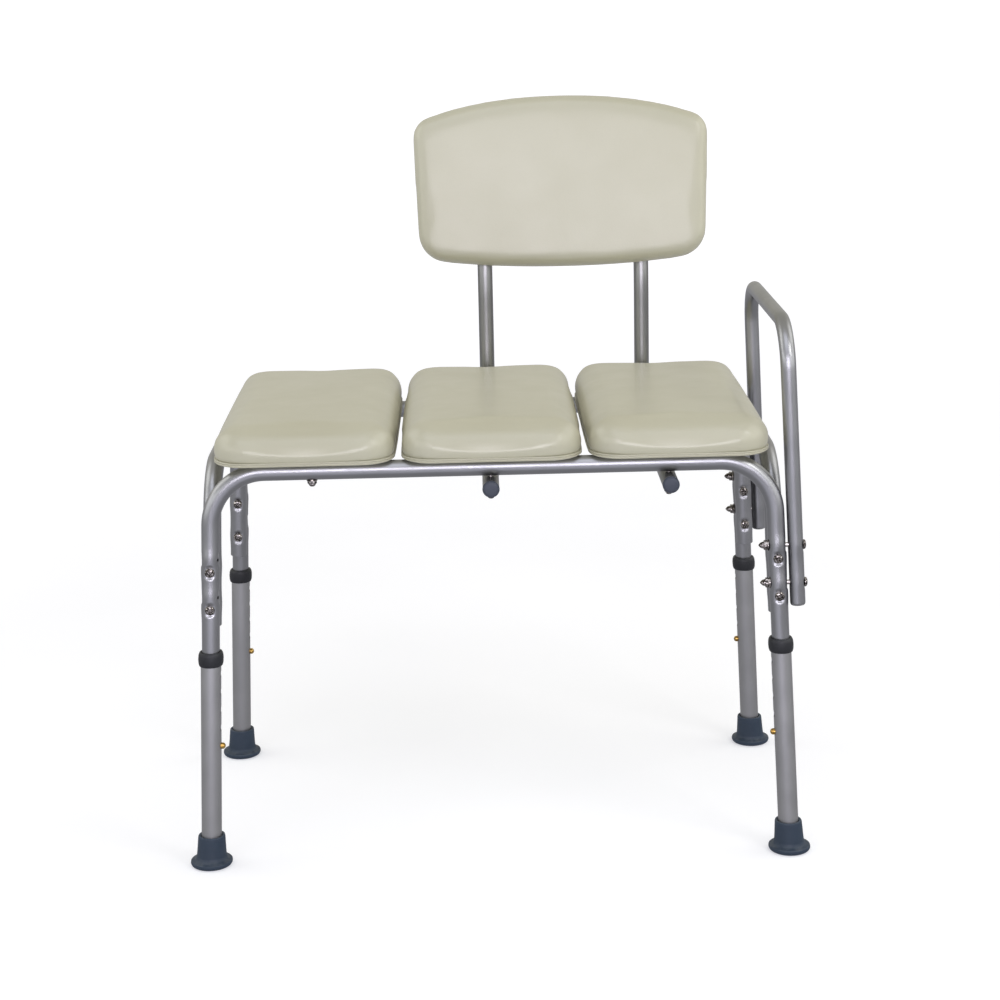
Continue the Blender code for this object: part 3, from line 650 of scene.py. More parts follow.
def make_armrest(paint):
    offset = RIGHT * ARM_OFFSET
    corners = [
        leg_point(1, -1, ARM_END) + offset,
        leg_point(1, -1, ARM_HEIGHT) + offset,
        leg_point(1, 1, ARM_HEIGHT) + offset,
        leg_point(1, 1, ARM_END) + offset,
    ]
    presses = []
    for end in ENDS.values():
        for height in ARM_BOLT_HEIGHTS.values():
            presses.append((leg_point(1, end, height) + offset, RIGHT, ARM_HEAD_FLAT))
    mesh = tube_bmesh(bent_path(corners, [ARM_BEND] * 2), ARM_TUBE, THIN_WALL, presses)
    new_piece("armrest_tube", mesh, paint["frame_aluminium"], "frame_aluminium", ["armrest"])
    bore = ARM_TUBE - THIN_WALL - 0.0002
    profile = [
        (0, -0.0026), (ARM_TUBE - 0.0012, -0.0026), (ARM_TUBE, 0),
        (bore, 0), (bore, 0.010), (0, 0.010),
    ]
    for end_name, end in ENDS.items():
        node = f"armrest_plug_{end_name}"
        low = leg_point(1, end, ARM_END) + offset
        mesh = turned_bmesh(soften(profile, 0.0016), 48, aimed(low, -leg_direction(1, end)))
        new_piece(f"{node}_moulding", mesh, paint["plug_plastic"], "collar_plastic", [node])


def post_y_at(height):
    """How far back the leaning stretch of a backrest post is at a height."""
    return BACK_POST_Y + (height - BACK_LEAN_HEIGHT) * math.tan(BACK_RECLINE)


def back_corners():
    bar_height = RAIL_HEIGHT - FRAME_TUBE - BACK_BAR_DROP - BACK_TUBE
    top_y = post_y_at(BACK_FRAME_TOP)
    corners = []
    for side in (-1, 1):
        post_x = BACK_CENTRE_X + side * BACK_HALF_POSTS
        half = [
            Vector((BACK_CENTRE_X + side * BACK_HALF_BARS, BACK_BAR_FRONT, bar_height)),
            Vector((post_x, BACK_POST_Y, bar_height)),
            Vector((post_x, BACK_POST_Y, BACK_LEAN_HEIGHT)),
            Vector((post_x, top_y, BACK_FRAME_TOP)),
        ]
        corners += half if side < 0 else reversed(half)
    return corners


def make_back_frame(paint):
    corners = back_corners()
    radii = [BACK_BEND, BACK_LEAN_BEND, BACK_BEND, BACK_BEND, BACK_LEAN_BEND, BACK_BEND]
    mesh = tube_bmesh(bent_path(corners, radii), BACK_TUBE, THIN_WALL)
    # The darker aluminium copy: painted shade on the backrest tube
    metal = paint["shaded_aluminium"]
    new_piece("backrest_tube", mesh, metal, "frame_aluminium", ["backrest_frame"])
    outer = 0.0106
    bore = BACK_TUBE - THIN_WALL - 0.0002
    profile = [
        (0, -0.0044), (0.0080, -0.0042), (outer - 0.0003, -0.0018), (outer, -0.0002),
        (bore, -0.0002), (bore, 0.0100), (0, 0.0100),
    ]
    for side_name, corner in (("left", corners[0]), ("right", corners[-1])):
        node = f"backrest_cap_{side_name}"
        mesh = turned_bmesh(soften(profile, 0.0018), 48, aimed(corner, -FRONT))
        new_piece(f"{node}_moulding", mesh, paint["cap_plastic"], "cap_plastic", [node])


# ---------------------------------------------------------------- legs


def inward(side):
    """The way a snap button points: to the middle of the bench, square to the leg."""
    return Vector((-side, 0.0, -LEAN_X)).normalized()


def button_bmesh(matrix):
    """The brass button with its domed end, and the folded leaf spring behind it."""
    dome = [(0.0, 0.0085), (0.0046, 0.0085), (0.0046, 0.0094), (BUTTON_RADIUS, 0.0096)]
    crown = 0.0034
    base = BUTTON_TIP - crown
    for step in range(9):
        angle = math.pi / 2 * step / 8
        radius = BUTTON_RADIUS * math.cos(angle) if step < 8 else 0.0
        dome.append((radius, base + crown * math.sin(angle)))
    mesh = turned_bmesh(dome, 40, matrix)
    thickness = 0.0007
    half_width = 0.0030
    line = [(0.0070, 0.0084), (-0.0290, 0.0084)]
    for step in range(9):
        angle = math.pi / 2 + math.pi * step / 8
        line.append((-0.0290 + 0.0028 * math.cos(angle), 0.0056 + 0.0028 * math.sin(angle)))
    line += [(-0.0100, -0.0030)]
    rings = []
    for index, (x, z) in enumerate(line):
        before = Vector(line[max(index - 1, 0)])
        after = Vector(line[min(index + 1, len(line) - 1)])
        run = (after - before).normalized()
        across = Vector((-run.y, run.x)) * thickness / 2
        ring = []
        for face, edge in ((1, 1), (1, -1), (-1, -1), (-1, 1)):
            corner = Vector((x + face * across.x, edge * half_width, z + face * across.y))
            ring.append(mesh.verts.new(matrix @ corner))
        rings.append(ring)
    loft(mesh, rings)
    return mesh


def make_legs(paint):
    for corner, (side, end) in CORNERS.items():
        body = f"leg_extension_{corner}"
        axis = leg_direction(side, end)
        outward = inward(side)
        lean = (-side * LEAN_X, -end * LEAN_Y)
        low = leg_point(side, end, LEG_BOTTOM)
        high = leg_point(side, end, LEG_TOP)
        mesh = tube_bmesh([low, high], LEG_TUBE, LEG_WALL, sides=48)
        metal = paint["leg_aluminium"]
        node = f"leg_tube_{corner}"
        tube = new_piece(f"extension_{corner}", mesh, metal, "leg_aluminium", [node], body)
        holes = []
        for index in range(HOLE_COUNT):
            centre = leg_point(side, end, BUTTON_HEIGHT) - axis * (index * HOLE_PITCH)
            centre += outward * LEG_TUBE
            holes.append((centre, outward, BUTTON_RADIUS + 0.0005, 0.007))
        drill(tube, holes)

        height = COLLAR_TOP - COLLAR_BOTTOM
        shelf = LEG_TOP + 0.0012 - COLLAR_BOTTOM
        lip = FRAME_TUBE + 0.0004
        bore = LEG_TUBE + GAP
        profile = [
            (bore, 0.0), (0.0143, 0.0), (0.0154, 0.0030), (0.0158, height * 0.5),
            (0.0154, height - 0.0035), (0.0139, height), (lip, height), (lip, shelf), (bore, shelf),
        ]
        place = Matrix.Translation(leg_point(side, end, COLLAR_BOTTOM))
        mesh = turned_bmesh(soften(profile, 0.0016), 64, place, lean, ring=True)
        plastic = paint["collar_plastic"]
        node = f"collar_{corner}"
        new_piece(f"collar_ring_{corner}", mesh, plastic, "collar_plastic", [node], body)

        mesh = turned_bmesh(foot_profile(), 72, Matrix.Translation(leg_point(side, end, 0.0)), lean)
        rubber = paint["slate_rubber"]
        node = f"foot_{corner}"
        new_piece(f"rubber_foot_{corner}", mesh, rubber, "slate_rubber", [node], body)

        across = (-axis).cross(outward).normalized()
        turn = Matrix((across.cross(outward), across, outward)).transposed().to_4x4()
        mesh = button_bmesh(Matrix.Translation(leg_point(side, end, BUTTON_HEIGHT)) @ turn)
        node = f"snap_button_{corner}"
        new_piece(f"brass_button_{corner}", mesh, paint["brass"], "brass", [node], node)


def foot_profile():
    """A rubber ferrule: ribbed tread, flat flange, flared neck, sleeve with a rolled lip."""
    bore = LEG_TUBE + GAP
    tread = [
        (0.0, 0.0008), (0.0060, 0.0008), (0.0066, 0.0), (0.0120, 0.0), (0.0126, 0.0010),
        (0.0160, 0.0010), (0.0166, 0.0), (0.0228, 0.0),
    ]
    flange = [
        (0.0252, 0.0014), (0.0265, 0.0040), (0.0262, 0.0068), (0.0250, 0.0076), (0.0226, 0.0081)
    ]
    neck = [(0.0202, 0.0096), (0.0189, 0.0128), (0.0182, 0.0200)]
    sleeve = [(0.0171, 0.0375), (0.0166, 0.0396), (0.0150, 0.0400), (bore + 0.0004, 0.0392)]
    inside = [(bore, 0.0375), (bore, 0.0080), (0.0, 0.0080)]
    return soften(tread + flange + neck + sleeve + inside, 0.0010, 3)


# ---------------------------------------------------------------- bolts


def slot_cutter(turn):
    """One arm of a cross recess, which narrows as it goes in."""
    mesh = bmesh.new()
    corners = []
    for z, half_length, half_width in ((-0.0050, 0.0040, 0.00095), (-0.0012, 0.0018, 0.00055)):
        for x, y in ((1, 1), (-1, 1), (-1, -1), (1, -1)):
            point = Vector((x * half_length, y * half_width, z))
            point.rotate(Matrix.Rotation(turn, 3, "Z"))
            corners.append(mesh.verts.new(point))
    bridge(mesh, corners[:4], corners[4:])
    mesh.faces.new(corners[:4])
    mesh.faces.new(corners[4:])
    bmesh.ops.recalc_face_normals(mesh, faces=mesh.faces)
    return mesh


def add_nut(mesh, matrix, radius, low, high):
    """A hexagonal nut with chamfered corners, from low to high along +Z."""
    chamfer = 0.0006
    levels = [(0.90, low), (1.0, low + chamfer), (1.0, high - chamfer), (0.90, high)]
    rings = []
    for share, height in levels:
        ring = []
        for i in range(36):
            angle = math.tau * i / 36
            flat = radius * math.cos(math.pi / 6) / math.cos((angle % (math.pi / 3)) - math.pi / 6)
            reach = min(flat, radius * share) if share < 1 else flat
            spot = Vector((reach * math.cos(angle), reach * math.sin(angle), height))
            ring.append(mesh.verts.new(matrix @ spot))
        rings.append(ring)
    loft(mesh, rings)


def add_washer(mesh, matrix, radius, low, high):
    bore = 0.0032
    profile = [(bore, low), (radius, low), (radius, high), (bore, high)]
    turned_bmesh(profile, 40, matrix, ring=True, mesh=mesh)


def domed_nut(matrix, washer, nut, dome, ease, steps):
    """A washer of a (radius, thickness), a hexagon of a (radius, low, high) and a turned dome."""
    mesh = bmesh.new()
    add_washer(mesh, matrix, washer[0], 0.0, washer[1])
    add_nut(mesh, matrix, *nut)
    return turned_bmesh(soften(dome, ease, steps), 40, matrix, mesh=mesh)


def bolt_head():
    """A pan head with its recess, made once for every bolt: seat at 0, top towards -Z."""
    shares = [(0.0, 1.0), (0.55, 0.97), (0.86, 0.74), (1.0, 0.34), (1.0, 0.0)]
    head = [(BOLT_HEAD * reach, -HEAD_HEIGHT * rise) for reach, rise in shares]
    neck = [(BOLT_SHANK, 0.0), (BOLT_SHANK, 0.0010), (0.0, 0.0010)]
    mesh = turned_bmesh(soften(head, 0.0009) + neck, 40, Matrix.Identity(4))
    bmesh.ops.recalc_face_normals(mesh, faces=mesh.faces)
    head = object_of("bolt_head", mesh)
    for turn in (0.0, math.pi / 2):
        cut_away(head, slot_cutter(turn))
    data = head.data
    bpy.data.objects.remove(head)
    return data


def make_bolt(name, head, seat, direction, length, paint, stands_for, spin, nut_at=None):
    """A pan-head bolt whose head sits at seat and whose shank runs along a direction."""
    matrix = aimed(seat, direction) @ Matrix.Rotation(spin, 4, "Z")
    mesh = bmesh.new()
    mesh.from_mesh(head)
    mesh.transform(matrix)
    ease = 0.0006
    shank = [
        (0.0, 0.0011), (BOLT_SHANK, 0.0011), (BOLT_SHANK, length - ease),
        (BOLT_SHANK - ease, length), (0.0, length),
    ]
    turned_bmesh(shank, 24, matrix, mesh=mesh)
    if nut_at:
        add_washer(mesh, matrix, 0.0066, nut_at - 0.0008, nut_at)
        add_nut(mesh, matrix, NUT_RADIUS, nut_at, nut_at + NUT_HEIGHT)
    new_piece(name, mesh, paint["nickel"], "nickel", stands_for)


def middle_of(low, high):
    return (low + high) / 2


def make_bolts(paint):
    head = bolt_head()
    spins = {"upper": 0.35, "lower": 1.0}
    acorn = [
        (0.0, 0.0053), (0.0043, 0.0053), (0.0043, 0.0062), (0.0040, 0.0078),
        (0.0031, 0.0096), (0.0016, 0.0112), (0.0, 0.0122),
    ]
    for corner, (side, _) in CORNERS.items():
        for level in LEG_BOLT_HEIGHTS:
            node = f"leg_bolt_{corner}_{level}"
            low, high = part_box(node)
            seat = middle_of(low, high)
            seat.y = low.y + HEAD_HEIGHT + LEG_FLAT
            length = high.y - seat.y
            make_bolt(
                f"screw_{corner}_{level}", head, seat, -FRONT, length, paint, [node],
                spins[level] + 0.4 * side, nut_at=length - NUT_HEIGHT - THREAD_LEFT,
            )
    for end_name in ENDS:
        for level in ARM_BOLT_HEIGHTS:
            node = f"armrest_bolt_{end_name}_{level}"
            low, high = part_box(node)
            seat = middle_of(low, high)
            seat.x = high.x - HEAD_HEIGHT - 0.0004
            make_bolt(
                f"armrest_screw_{end_name}_{level}", head, seat, -RIGHT, seat.x - low.x,
                paint, [node], spins[level],
            )
            node = f"acorn_nut_{end_name}_{level}"
            low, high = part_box(node)
            seat = middle_of(low, high)
            seat.x = high.x + ARM_FLAT
            nut = (0.0065, 0.0011, 0.0054)
            mesh = domed_nut(aimed(seat, -RIGHT), (0.0072, 0.0010), nut, acorn, 0.0006, 3)
            new_piece(f"acorn_{end_name}_{level}", mesh, paint["nickel"], "nickel", [node])
    front, _, forward = back_panel_frame()
    for side_name in SIDES:
        for level in ("upper", "lower"):
            node = f"backrest_screw_{side_name}_{level}"
            seat = middle_of(*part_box(node))
            seat -= forward * ((seat - front).dot(forward) + 2 * BACK_TUBE + 2 * GAP)
            make_bolt(
                f"panel_screw_{side_name}_{level}", head, seat, forward,
                2 * BACK_TUBE + BACK_BOARD - 0.003, paint, [node], 0.6,
            )


def make_studs(paint):
    """The seat studs and their domed nuts and washers, below the rails and bars."""
    nut = (NUT_RADIUS, 0.0010, 0.0046)
    dome = [
        (0.0, 0.0045), (0.0044, 0.0045), (0.0044, 0.0056), (0.0030, 0.0078), (0.0, STUD_NUT_HEIGHT)
    ]
    for section in ("left", "middle", "right"):
        for end_name in ENDS:
            node = f"seat_stud_{section}_{end_name}"
            low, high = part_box(node)
            seat = middle_of(low, high)
            seat.z = low.z + STUD_NUT_HEIGHT
            matrix = aimed(seat, -UP)
            mesh = domed_nut(matrix, (0.0066, 0.0009), nut, dome, 0.0012, 4)
            top = seat.z - high.z
            stud = [(0.0, 0.0), (BOLT_SHANK, 0.0), (BOLT_SHANK, top), (0.0, top)]
            turned_bmesh(stud, 24, matrix, mesh=mesh)
            new_piece(f"stud_{section}_{end_name}", mesh, paint["nickel"], "nickel", [node])


# ---------------------------------------------------------------- padding


def arc_points(centre, radius, start, end, steps):
    points = []
    for step in range(steps + 1):
        angle = start + (end - start) * step / steps
        x = centre.x + radius * math.cos(angle)
        points.append(Vector((x, centre.y + radius * math.sin(angle))))
    return points


def round_corners(points, radii, steps=10):
    """A convex anticlockwise polygon, each corner rounded to its own radius. 0 leaves it sharp."""
    outline = []
    for i, radius in enumerate(radii):
        corner = points[i]
        if radius == 0.0:
            outline.append(corner.copy())
            continue
        after = points[(i + 1) % len(points)]
        centre, start, end = fillet(points[i - 1], corner, after, radius)
        first = math.atan2(start.y, start.x)
        sweep = (math.atan2(end.y, end.x) - first) % math.tau
        outline += arc_points(centre, radius, first, first + sweep, steps)
    return outline


def evenly(outline):
    """The closed outline again, with points at even distances."""
    closed = outline + [outline[0]]
    lengths = [0.0]
    for a, b in zip(closed, closed[1:]):
        lengths.append(lengths[-1] + (b - a).length)
    count = round(lengths[-1] / PAD_SPACING)
    marks = np.linspace(0.0, lengths[-1], count, endpoint=False)
    xs = np.interp(marks, lengths, [p.x for p in closed])
    ys = np.interp(marks, lengths, [p.y for p in closed])
    return [Vector((x, y)) for x, y in zip(xs, ys)]


def inset(outline, distance):
    """An anticlockwise outline moved inwards."""
    moved = []
    count = len(outline)
    for i, point in enumerate(outline):
        along = (outline[(i + 1) % count] - outline[i - 1]).normalized()
        moved.append(point + Vector((-along.y, along.x)) * distance)
    return moved


def seat_outline(half_x, half_y):
    """A rounded rectangle whose long sides swell between the corners."""
    points = [Vector((sx * half_x, sy * half_y)) for sx, sy in ((1, 1), (-1, 1), (-1, -1), (1, -1))]
    outline = evenly(round_corners(points, [PAD_CORNER] * 4))
    for point in outline:
        share_x = point.x / half_x
        share_y = point.y / half_y
        point.x += PAD_SWELL * share_x**3 * (1 - share_y**4)
    return outline


def back_outline():
    """Arched top, slightly bellied bottom, sides that close a little towards the bottom."""
    half = BACK_WIDTH / 2
    top = BACK_HEIGHT / 2
    shoulder = top - BACK_CROWN
    haunch = -top + BACK_BELLY
    shares = [i / 20 for i in range(-15, 16)]
    points = [Vector((half, shoulder))]
    radii = [BACK_TOP_CORNER]
    for share in reversed(shares):
        points.append(Vector((half * share, top - BACK_CROWN * abs(share) ** 2.2)))
        radii.append(0.0)
    points += [Vector((-half, shoulder)), Vector((-half + BACK_TAPER, haunch))]
    radii += [BACK_TOP_CORNER, BACK_LOW_CORNER]
    for share in shares:
        points.append(Vector((half * share, -top + BACK_BELLY * abs(share) ** 2.2)))
        radii.append(0.0)
    points.append(Vector((half - BACK_TAPER, haunch)))
    radii.append(BACK_LOW_CORNER)
    return evenly(round_corners(points, radii))


def stacked_bmesh(outline, levels, matrix):
    """A closed solid through copies of an outline, at (inset, height) levels from the bottom up."""
    mesh = bmesh.new()
    rings = []
    for distance, height in levels:
        line = inset(outline, distance)
        rings.append([mesh.verts.new(matrix @ Vector((p.x, p.y, height))) for p in line])
    loft(mesh, rings)
    return mesh


def piping_bmesh(mesh, outline, distance, height, radius, matrix, sides=10):
    """A round bead that follows an outline."""
    line = inset(outline, distance)
    count = len(line)
    rings = []
    for i, point in enumerate(line):
        along = (line[(i + 1) % count] - line[i - 1]).normalized()
        out = Vector((along.y, -along.x, 0.0))
        ring = []
        for k in range(sides):
            angle = math.tau * k / sides
            spoke = (out * math.cos(angle) + UP * math.sin(angle)) * radius
            ring.append(mesh.verts.new(matrix @ (Vector((point.x, point.y, height)) + spoke)))
        rings.append(ring)
    for i in range(count):
        bridge(mesh, rings[i], rings[(i + 1) % count])


def padded_piece(name, outline, levels, swell, most, dome):
    """A cushion in its own axes, +Z its face: remeshed, swollen as cloth, then subdivided."""
    mesh = stacked_bmesh(outline, levels, Matrix.Identity(4))
    bmesh.ops.triangulate(mesh, faces=[f for f in mesh.faces if len(f.verts) > 4])
    bmesh.ops.recalc_face_normals(mesh, faces=mesh.faces)
    piece = object_of(name, mesh)
    remesh = piece.modifiers.new("remesh", "REMESH")
    remesh.mode = "VOXEL"
    remesh.voxel_size = PAD_SPACING
    apply_modifiers(piece)
    low = levels[0][1]
    high = levels[-1][1]
    half_x = max(p.x for p in outline)
    half_y = max(p.y for p in outline)
    for vert in piece.data.vertices:
        share = smoothstep(vert.co.z, low + 0.3 * (high - low), high)
        across = [max(0.0, 1 - (vert.co.x / half_x) ** 2), max(0.0, 1 - (vert.co.y / half_y) ** 2)]
        vert.co.z += dome * share * math.sqrt(math.prod(across))
    stuff(piece, swell, most, low)
    smooth = piece.modifiers.new("smooth", "SMOOTH")
    smooth.factor = 0.5
    smooth.iterations = 3
    subdivision = piece.modifiers.new("subdivision", "SUBSURF")
    subdivision.levels = subdivision.render_levels = 1
    apply_modifiers(piece)
    return piece


def apply_modifiers(piece):
    done = evaluated_mesh(piece)
    piece.modifiers.clear()
    piece.data = done


def coordinates(data):
    flat = np.zeros(len(data.vertices) * 3, np.float32)
    data.vertices.foreach_get("co", flat)
    return flat.reshape(-1, 3).astype(float)


def evened(values, data, rounds):
    """Values on a mesh's points, each averaged with its neighbours a number of times."""
    ends = np.zeros(len(data.edges) * 2, np.int32)
    data.edges.foreach_get("vertices", ends)
    first, second = ends.reshape(-1, 2).T
    count = np.bincount(ends, minlength=len(values))[:, None]
    for _ in range(rounds):
        around = np.zeros_like(values)
        np.add.at(around, first, values[second])
        np.add.at(around, second, values[first])
        values = (values + around) / (1 + count)
    return values


def stuff(piece, pressure, most, low):
    """Swells a pad with a short cloth simulation.

    Its underside is held, and no point moves beyond most.
    """
    start = coordinates(piece.data)
    held = piece.vertex_groups.new(name="held")
    held.add([i for i, point in enumerate(start) if point[2] < low + 0.006], 1.0, "REPLACE")
    cloth = piece.modifiers.new("cloth", "CLOTH")
    settings = cloth.settings
    settings.quality = 5
    settings.mass = 0.35
    settings.tension_stiffness = settings.compression_stiffness = 20.0
    settings.bending_stiffness = 4.0
    settings.use_pressure = True
    settings.uniform_pressure_force = pressure
    settings.effector_weights.gravity = 0.0
    settings.vertex_group_mass = "held"
    frames = 20
    cloth.point_cache.frame_start = 1
    cloth.point_cache.frame_end = frames
    scene = bpy.context.scene
    for number in range(1, frames + 1):
        scene.frame_set(number)
    swollen = piece.evaluated_get(bpy.context.evaluated_depsgraph_get()).to_mesh()
    moved = coordinates(swollen) - start
    piece.modifiers.remove(cloth)
    scene.frame_set(1)
    moved = evened(moved, piece.data, 14)
    length = np.linalg.norm(moved, axis=1)[:, None]
    moved *= np.minimum(1.0, most / np.maximum(length, 1e-9))
    piece.data.vertices.foreach_set("co", (start + moved).astype(np.float32).ravel())
    piece.data.update()
    piece.vertex_groups.clear()


def edge_levels(bottom, top, reach, down, steps=10):
    """(inset, height) levels: an upright side, then an elliptic top edge."""
    levels = [(0.0, bottom)]
    for step in range(steps + 1):
        angle = math.pi / 2 * step / steps
        levels.append((reach * (1 - math.cos(angle)), top - down * (1 - math.sin(angle))))
    return levels


def make_seat(paint):
    """Three like sections: a pad swollen once and turned, its welts, and the covered board."""
    vinyl_paint = paint["cream_vinyl"]
    riding = {"body": "bench_frame", "smooth_angle": PAD_SMOOTH_ANGLE}
    low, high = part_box("seat_cushion_middle")
    half = (high - low) / 2
    outline = seat_outline(half.x, half.y)
    seam = -0.0016
    skirt = [
        (0.0060, seam - 0.0045), (0.0036, seam - 0.0020), (0.0022, seam + 0.0030),
        (0.0008, seam + 0.0080),
    ]
    levels = skirt + edge_levels(0.0110, high.z - low.z + 0.0003, 0.021, 0.022)
    master = padded_piece("pad_master", inset(outline, 0.0002), levels, 4.0, 0.0035, 0.0030)
    turns = {
        "left": Matrix.Identity(4),
        "middle": Matrix.Rotation(math.pi, 4, "Z"),
        "right": Matrix.Diagonal((-1.0, 1.0, 1.0, 1.0)),
    }
    for section, turn in turns.items():
        low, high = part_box(f"seat_cushion_{section}")
        base_low, base_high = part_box(f"seat_base_{section}")
        centre = middle_of(low, high)
        centre.z = low.z
        place = Matrix.Translation(centre)
        mesh = bmesh.new()
        mesh.from_mesh(master.data)
        mesh.transform(place @ turn)
        if turn.determinant() < 0:
            bmesh.ops.reverse_faces(mesh, faces=mesh.faces)
        cushion = [f"seat_cushion_{section}"]
        pad = new_piece(f"seat_pad_{section}", mesh, vinyl_paint, "cream_vinyl", cushion, **riding)
        mesh = bmesh.new()
        for drop in (0.0004, 0.0028):
            piping_bmesh(mesh, outline, 0.0022, seam - drop, 0.0008, place)
        new_piece(f"seat_welt_{section}", mesh, vinyl_paint, "cream_vinyl", cushion, **riding)
        top = base_high.z - base_low.z + GAP + seam
        levels = [
            (0.0090, 0.0), (0.0052, 0.0002), (0.0032, 0.0011), (0.0024, 0.0026),
            (0.0020, top - 0.0010), (0.0026, top),
        ]
        centre.z = base_low.z
        mesh = stacked_bmesh(outline, levels, Matrix.Translation(centre))
        base = [f"seat_base_{section}"]
        new_piece(f"seat_board_{section}", mesh, vinyl_paint, "cream_base", base, **riding)
    bpy.data.objects.remove(master)


def back_panel_frame():
    """The middle of the backrest board's rear face, the placement there, and the way it faces."""
    post_y = post_y_at(BACK_MIDDLE_HEIGHT)
    turn = Matrix.Rotation(math.pi / 2 - BACK_RECLINE, 4, "X")
    forward = (turn @ Vector((0, 0, 1))).normalized()
    middle = Vector((BACK_PANEL_X, post_y, BACK_MIDDLE_HEIGHT)) + forward * (BACK_TUBE + GAP)
    return middle, Matrix.Translation(middle) @ turn, forward


def make_back_pad(paint):
    _, place, _ = back_panel_frame()
    outline = back_outline()
    top = BACK_PADDING - 0.0022
    fall = [
        (0.0, 0.0170), (0.0008, 0.0110), (0.0022, 0.0066), (0.0042, 0.0034),
        (0.0066, 0.0014), (0.0090, 0.0004), (0.0110, 0.0),
    ]
    levels = [(0.0015, 0.0), (0.0, 0.0015)] + [(d, top - drop) for d, drop in fall]
    pad = padded_piece("back_pad", inset(outline, 0.0010), levels, 2.0, 0.0014, 0.0008)
    pad.data.transform(place @ Matrix.Translation((0, 0, BACK_BOARD + GAP)))
    vinyl_paint = paint["cream_vinyl"]
    riding = {"body": "bench_frame", "smooth_angle": PAD_SMOOTH_ANGLE}
    adopt(pad, vinyl_paint, "cream_vinyl", ["backrest_cushion"], **riding)
    levels = [(0.0100, 0.0), (0.0072, 0.0004), (0.0058, 0.0018), (0.0055, BACK_BOARD)]
    mesh = stacked_bmesh(outline, levels, place)
    new_piece("back_board", mesh, paint["cream_base"], "cream_base", ["backrest_board"], **riding)
    mesh = bmesh.new()
    piping_bmesh(mesh, outline, 0.0026, BACK_BOARD + 0.0006, 0.0011, place)
    new_piece("back_welt", mesh, vinyl_paint, "cream_vinyl", ["backrest_cushion"], **riding)


# ---------------------------------------------------------------- studio


def make_camera():
    """A long lens in front of the bench, a little above the backrest and looking down."""
    yaw, pitch, roll = 0.01061, 0.24558, -0.02220
    data = bpy.data.cameras.new("camera")
    data.lens = 79.2
    data.sensor_width = 36.0
    camera = in_scene("camera", data)
    place = Matrix.Translation((-0.01886, -2.79114, 1.11572))
    for angle, axis in ((-yaw, "Z"), (math.pi / 2 - pitch, "X"), (roll, "Z")):
        place = place @ Matrix.Rotation(angle, 4, axis)
    camera.matrix_world = place
    bpy.context.scene.camera = camera


def area_light(name, location, target, width, height, power, colour=(1.0, 1.0, 1.0), diffuse=True):
    data = bpy.data.lights.new(name, "AREA")
    data.shape = "RECTANGLE"
    data.size = width
    data.size_y = height
    data.energy = power
    data.color = colour
    light = in_scene(name, data)
    light.location = location
    light.rotation_euler = (Vector(target) - Vector(location)).to_track_quat("-Z", "Y").to_euler()
    light.visible_diffuse = diffuse


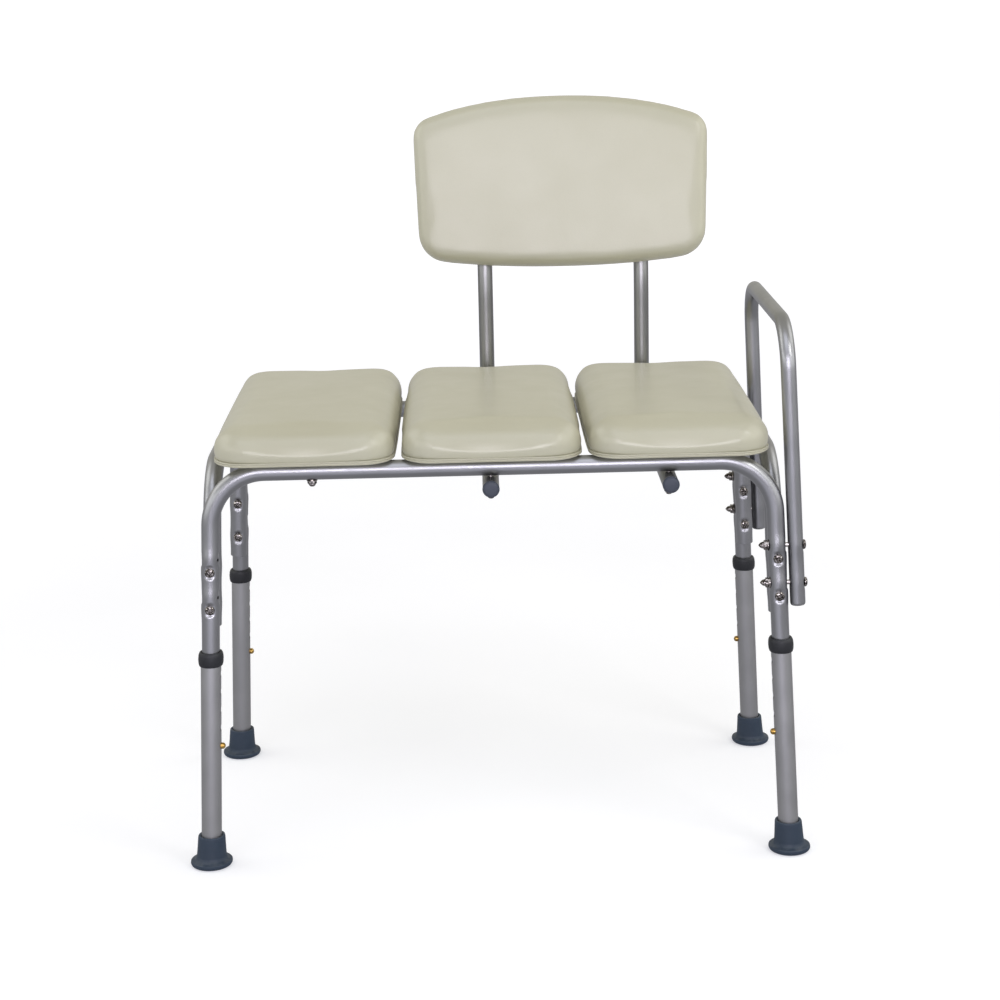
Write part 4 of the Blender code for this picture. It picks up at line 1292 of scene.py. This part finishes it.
def make_studio():
    mesh = bmesh.new()
    bmesh.ops.create_circle(mesh, cap_ends=True, segments=96, radius=40.0)
    floor = object_of("floor", mesh)
    floor.visible_glossy = False
    glowing = {"Specular_IOR_Level": 0.1, "Emission_Color": (0.98, 0.99, 1.06, 1.0)}
    finish = Finish("pale_floor", Roughness=0.9, **glowing)
    distance = finish.add("ShaderNodeVectorMath", {"Vector": finish.place}, operation="LENGTH")
    glow = finish.remap(distance.outputs["Value"], 1.2, 5.0, 0.45, 0.70)
    finish.tree.links.new(glow, finish.shader.inputs["Emission Strength"])
    cloudy = finish.remap(finish.noise(1.5), 0.3, 0.7)
    finish.colour(finish.tint(cloudy, (0.60, 0.60, 0.60), (0.63, 0.63, 0.63)))
    floor.data.materials.append(finish.material)
    light_world()
    cool = (0.94, 0.96, 1.10)
    blue = (0.92, 0.92, 1.10)
    violet = (0.99, 0.95, 1.08)
    warm = (1.0, 1.0, 0.97)
    area_light("front", (-0.3, -1.7, 3.0), (0.0, 0.0, 0.6), 2.6, 1.9, 20.0, cool)
    area_light("key", (1.6, -1.6, 1.9), (0.1, 0.0, 0.55), 0.9, 0.9, 14.0, (1.0, 0.99, 0.98))
    area_light("reflector", (-0.35, -1.6, 0.02), (-0.35, -1.6, 1.0), 1.4, 1.8, 3.8, blue)
    area_light("low_front", (0.05, -3.4, 1.12), (0.0, 0.0, 0.70), 2.8, 1.1, 53.0, violet, False)
    for name, side in SIDES.items():
        low = (3.2 * side, -1.6, 1.10)
        area_light(f"low_{name}", low, (0.0, 0.1, 0.70), 4.4, 1.2, 23.0, diffuse=False)
        high = (2.2 * side, 0.3, 1.9)
        area_light(f"{name}_side", high, (0.0, 0.1, 0.5), 1.8, 1.5, 12.0, warm)
    bpy.context.scene.view_settings.view_transform = "Standard"


def light_world():
    """White to the eye. As a light it is a dim room, cooler and darker in front and below."""
    world = bpy.data.worlds.new("studio")
    world.use_nodes = True
    nodes = Nodes(world.node_tree)
    direction = nodes.add("ShaderNodeTexCoord").outputs["Generated"]
    facing = nodes.add("ShaderNodeVectorMath", {"Vector": direction}, operation="DOT_PRODUCT")
    facing.inputs[1].default_value = (0.0, 0.64, 0.77)
    ramp = nodes.add("ShaderNodeValToRGB", {"Fac": nodes.remap(facing.outputs["Value"], -1.0, 1.0)})
    stops = [(0.0, (0.45, 0.44, 0.49)), (0.50, (0.63, 0.635, 0.64)), (1.0, (0.66, 0.64, 0.56))]
    for place, colour in stops[1:-1]:
        ramp.color_ramp.elements.new(place)
    for element, (place, colour) in zip(ramp.color_ramp.elements, stops):
        element.position = place
        element.color = (*colour, 1.0)
    upward = nodes.add("ShaderNodeSeparateXYZ", {"Vector": direction}).outputs["Z"]
    above = nodes.remap(upward, -0.25, 0.15, curve="SMOOTHSTEP")
    room = nodes.tint(above, (0.43, 0.43, 0.455), ramp.outputs["Color"])
    camera_ray = nodes.add("ShaderNodeLightPath").outputs["Is Camera Ray"]
    seen = nodes.tint(camera_ray, room, (1.1, 1.1, 1.1))
    nodes.tree.links.new(seen, nodes.tree.nodes["Background"].inputs["Color"])
    bpy.context.scene.world = world


make_camera()
make_studio()
paint = make_finishes()
make_frame(paint)
make_armrest(paint)
make_back_frame(paint)
make_legs(paint)
make_bolts(paint)
make_studs(paint)
make_seat(paint)
make_back_pad(paint)
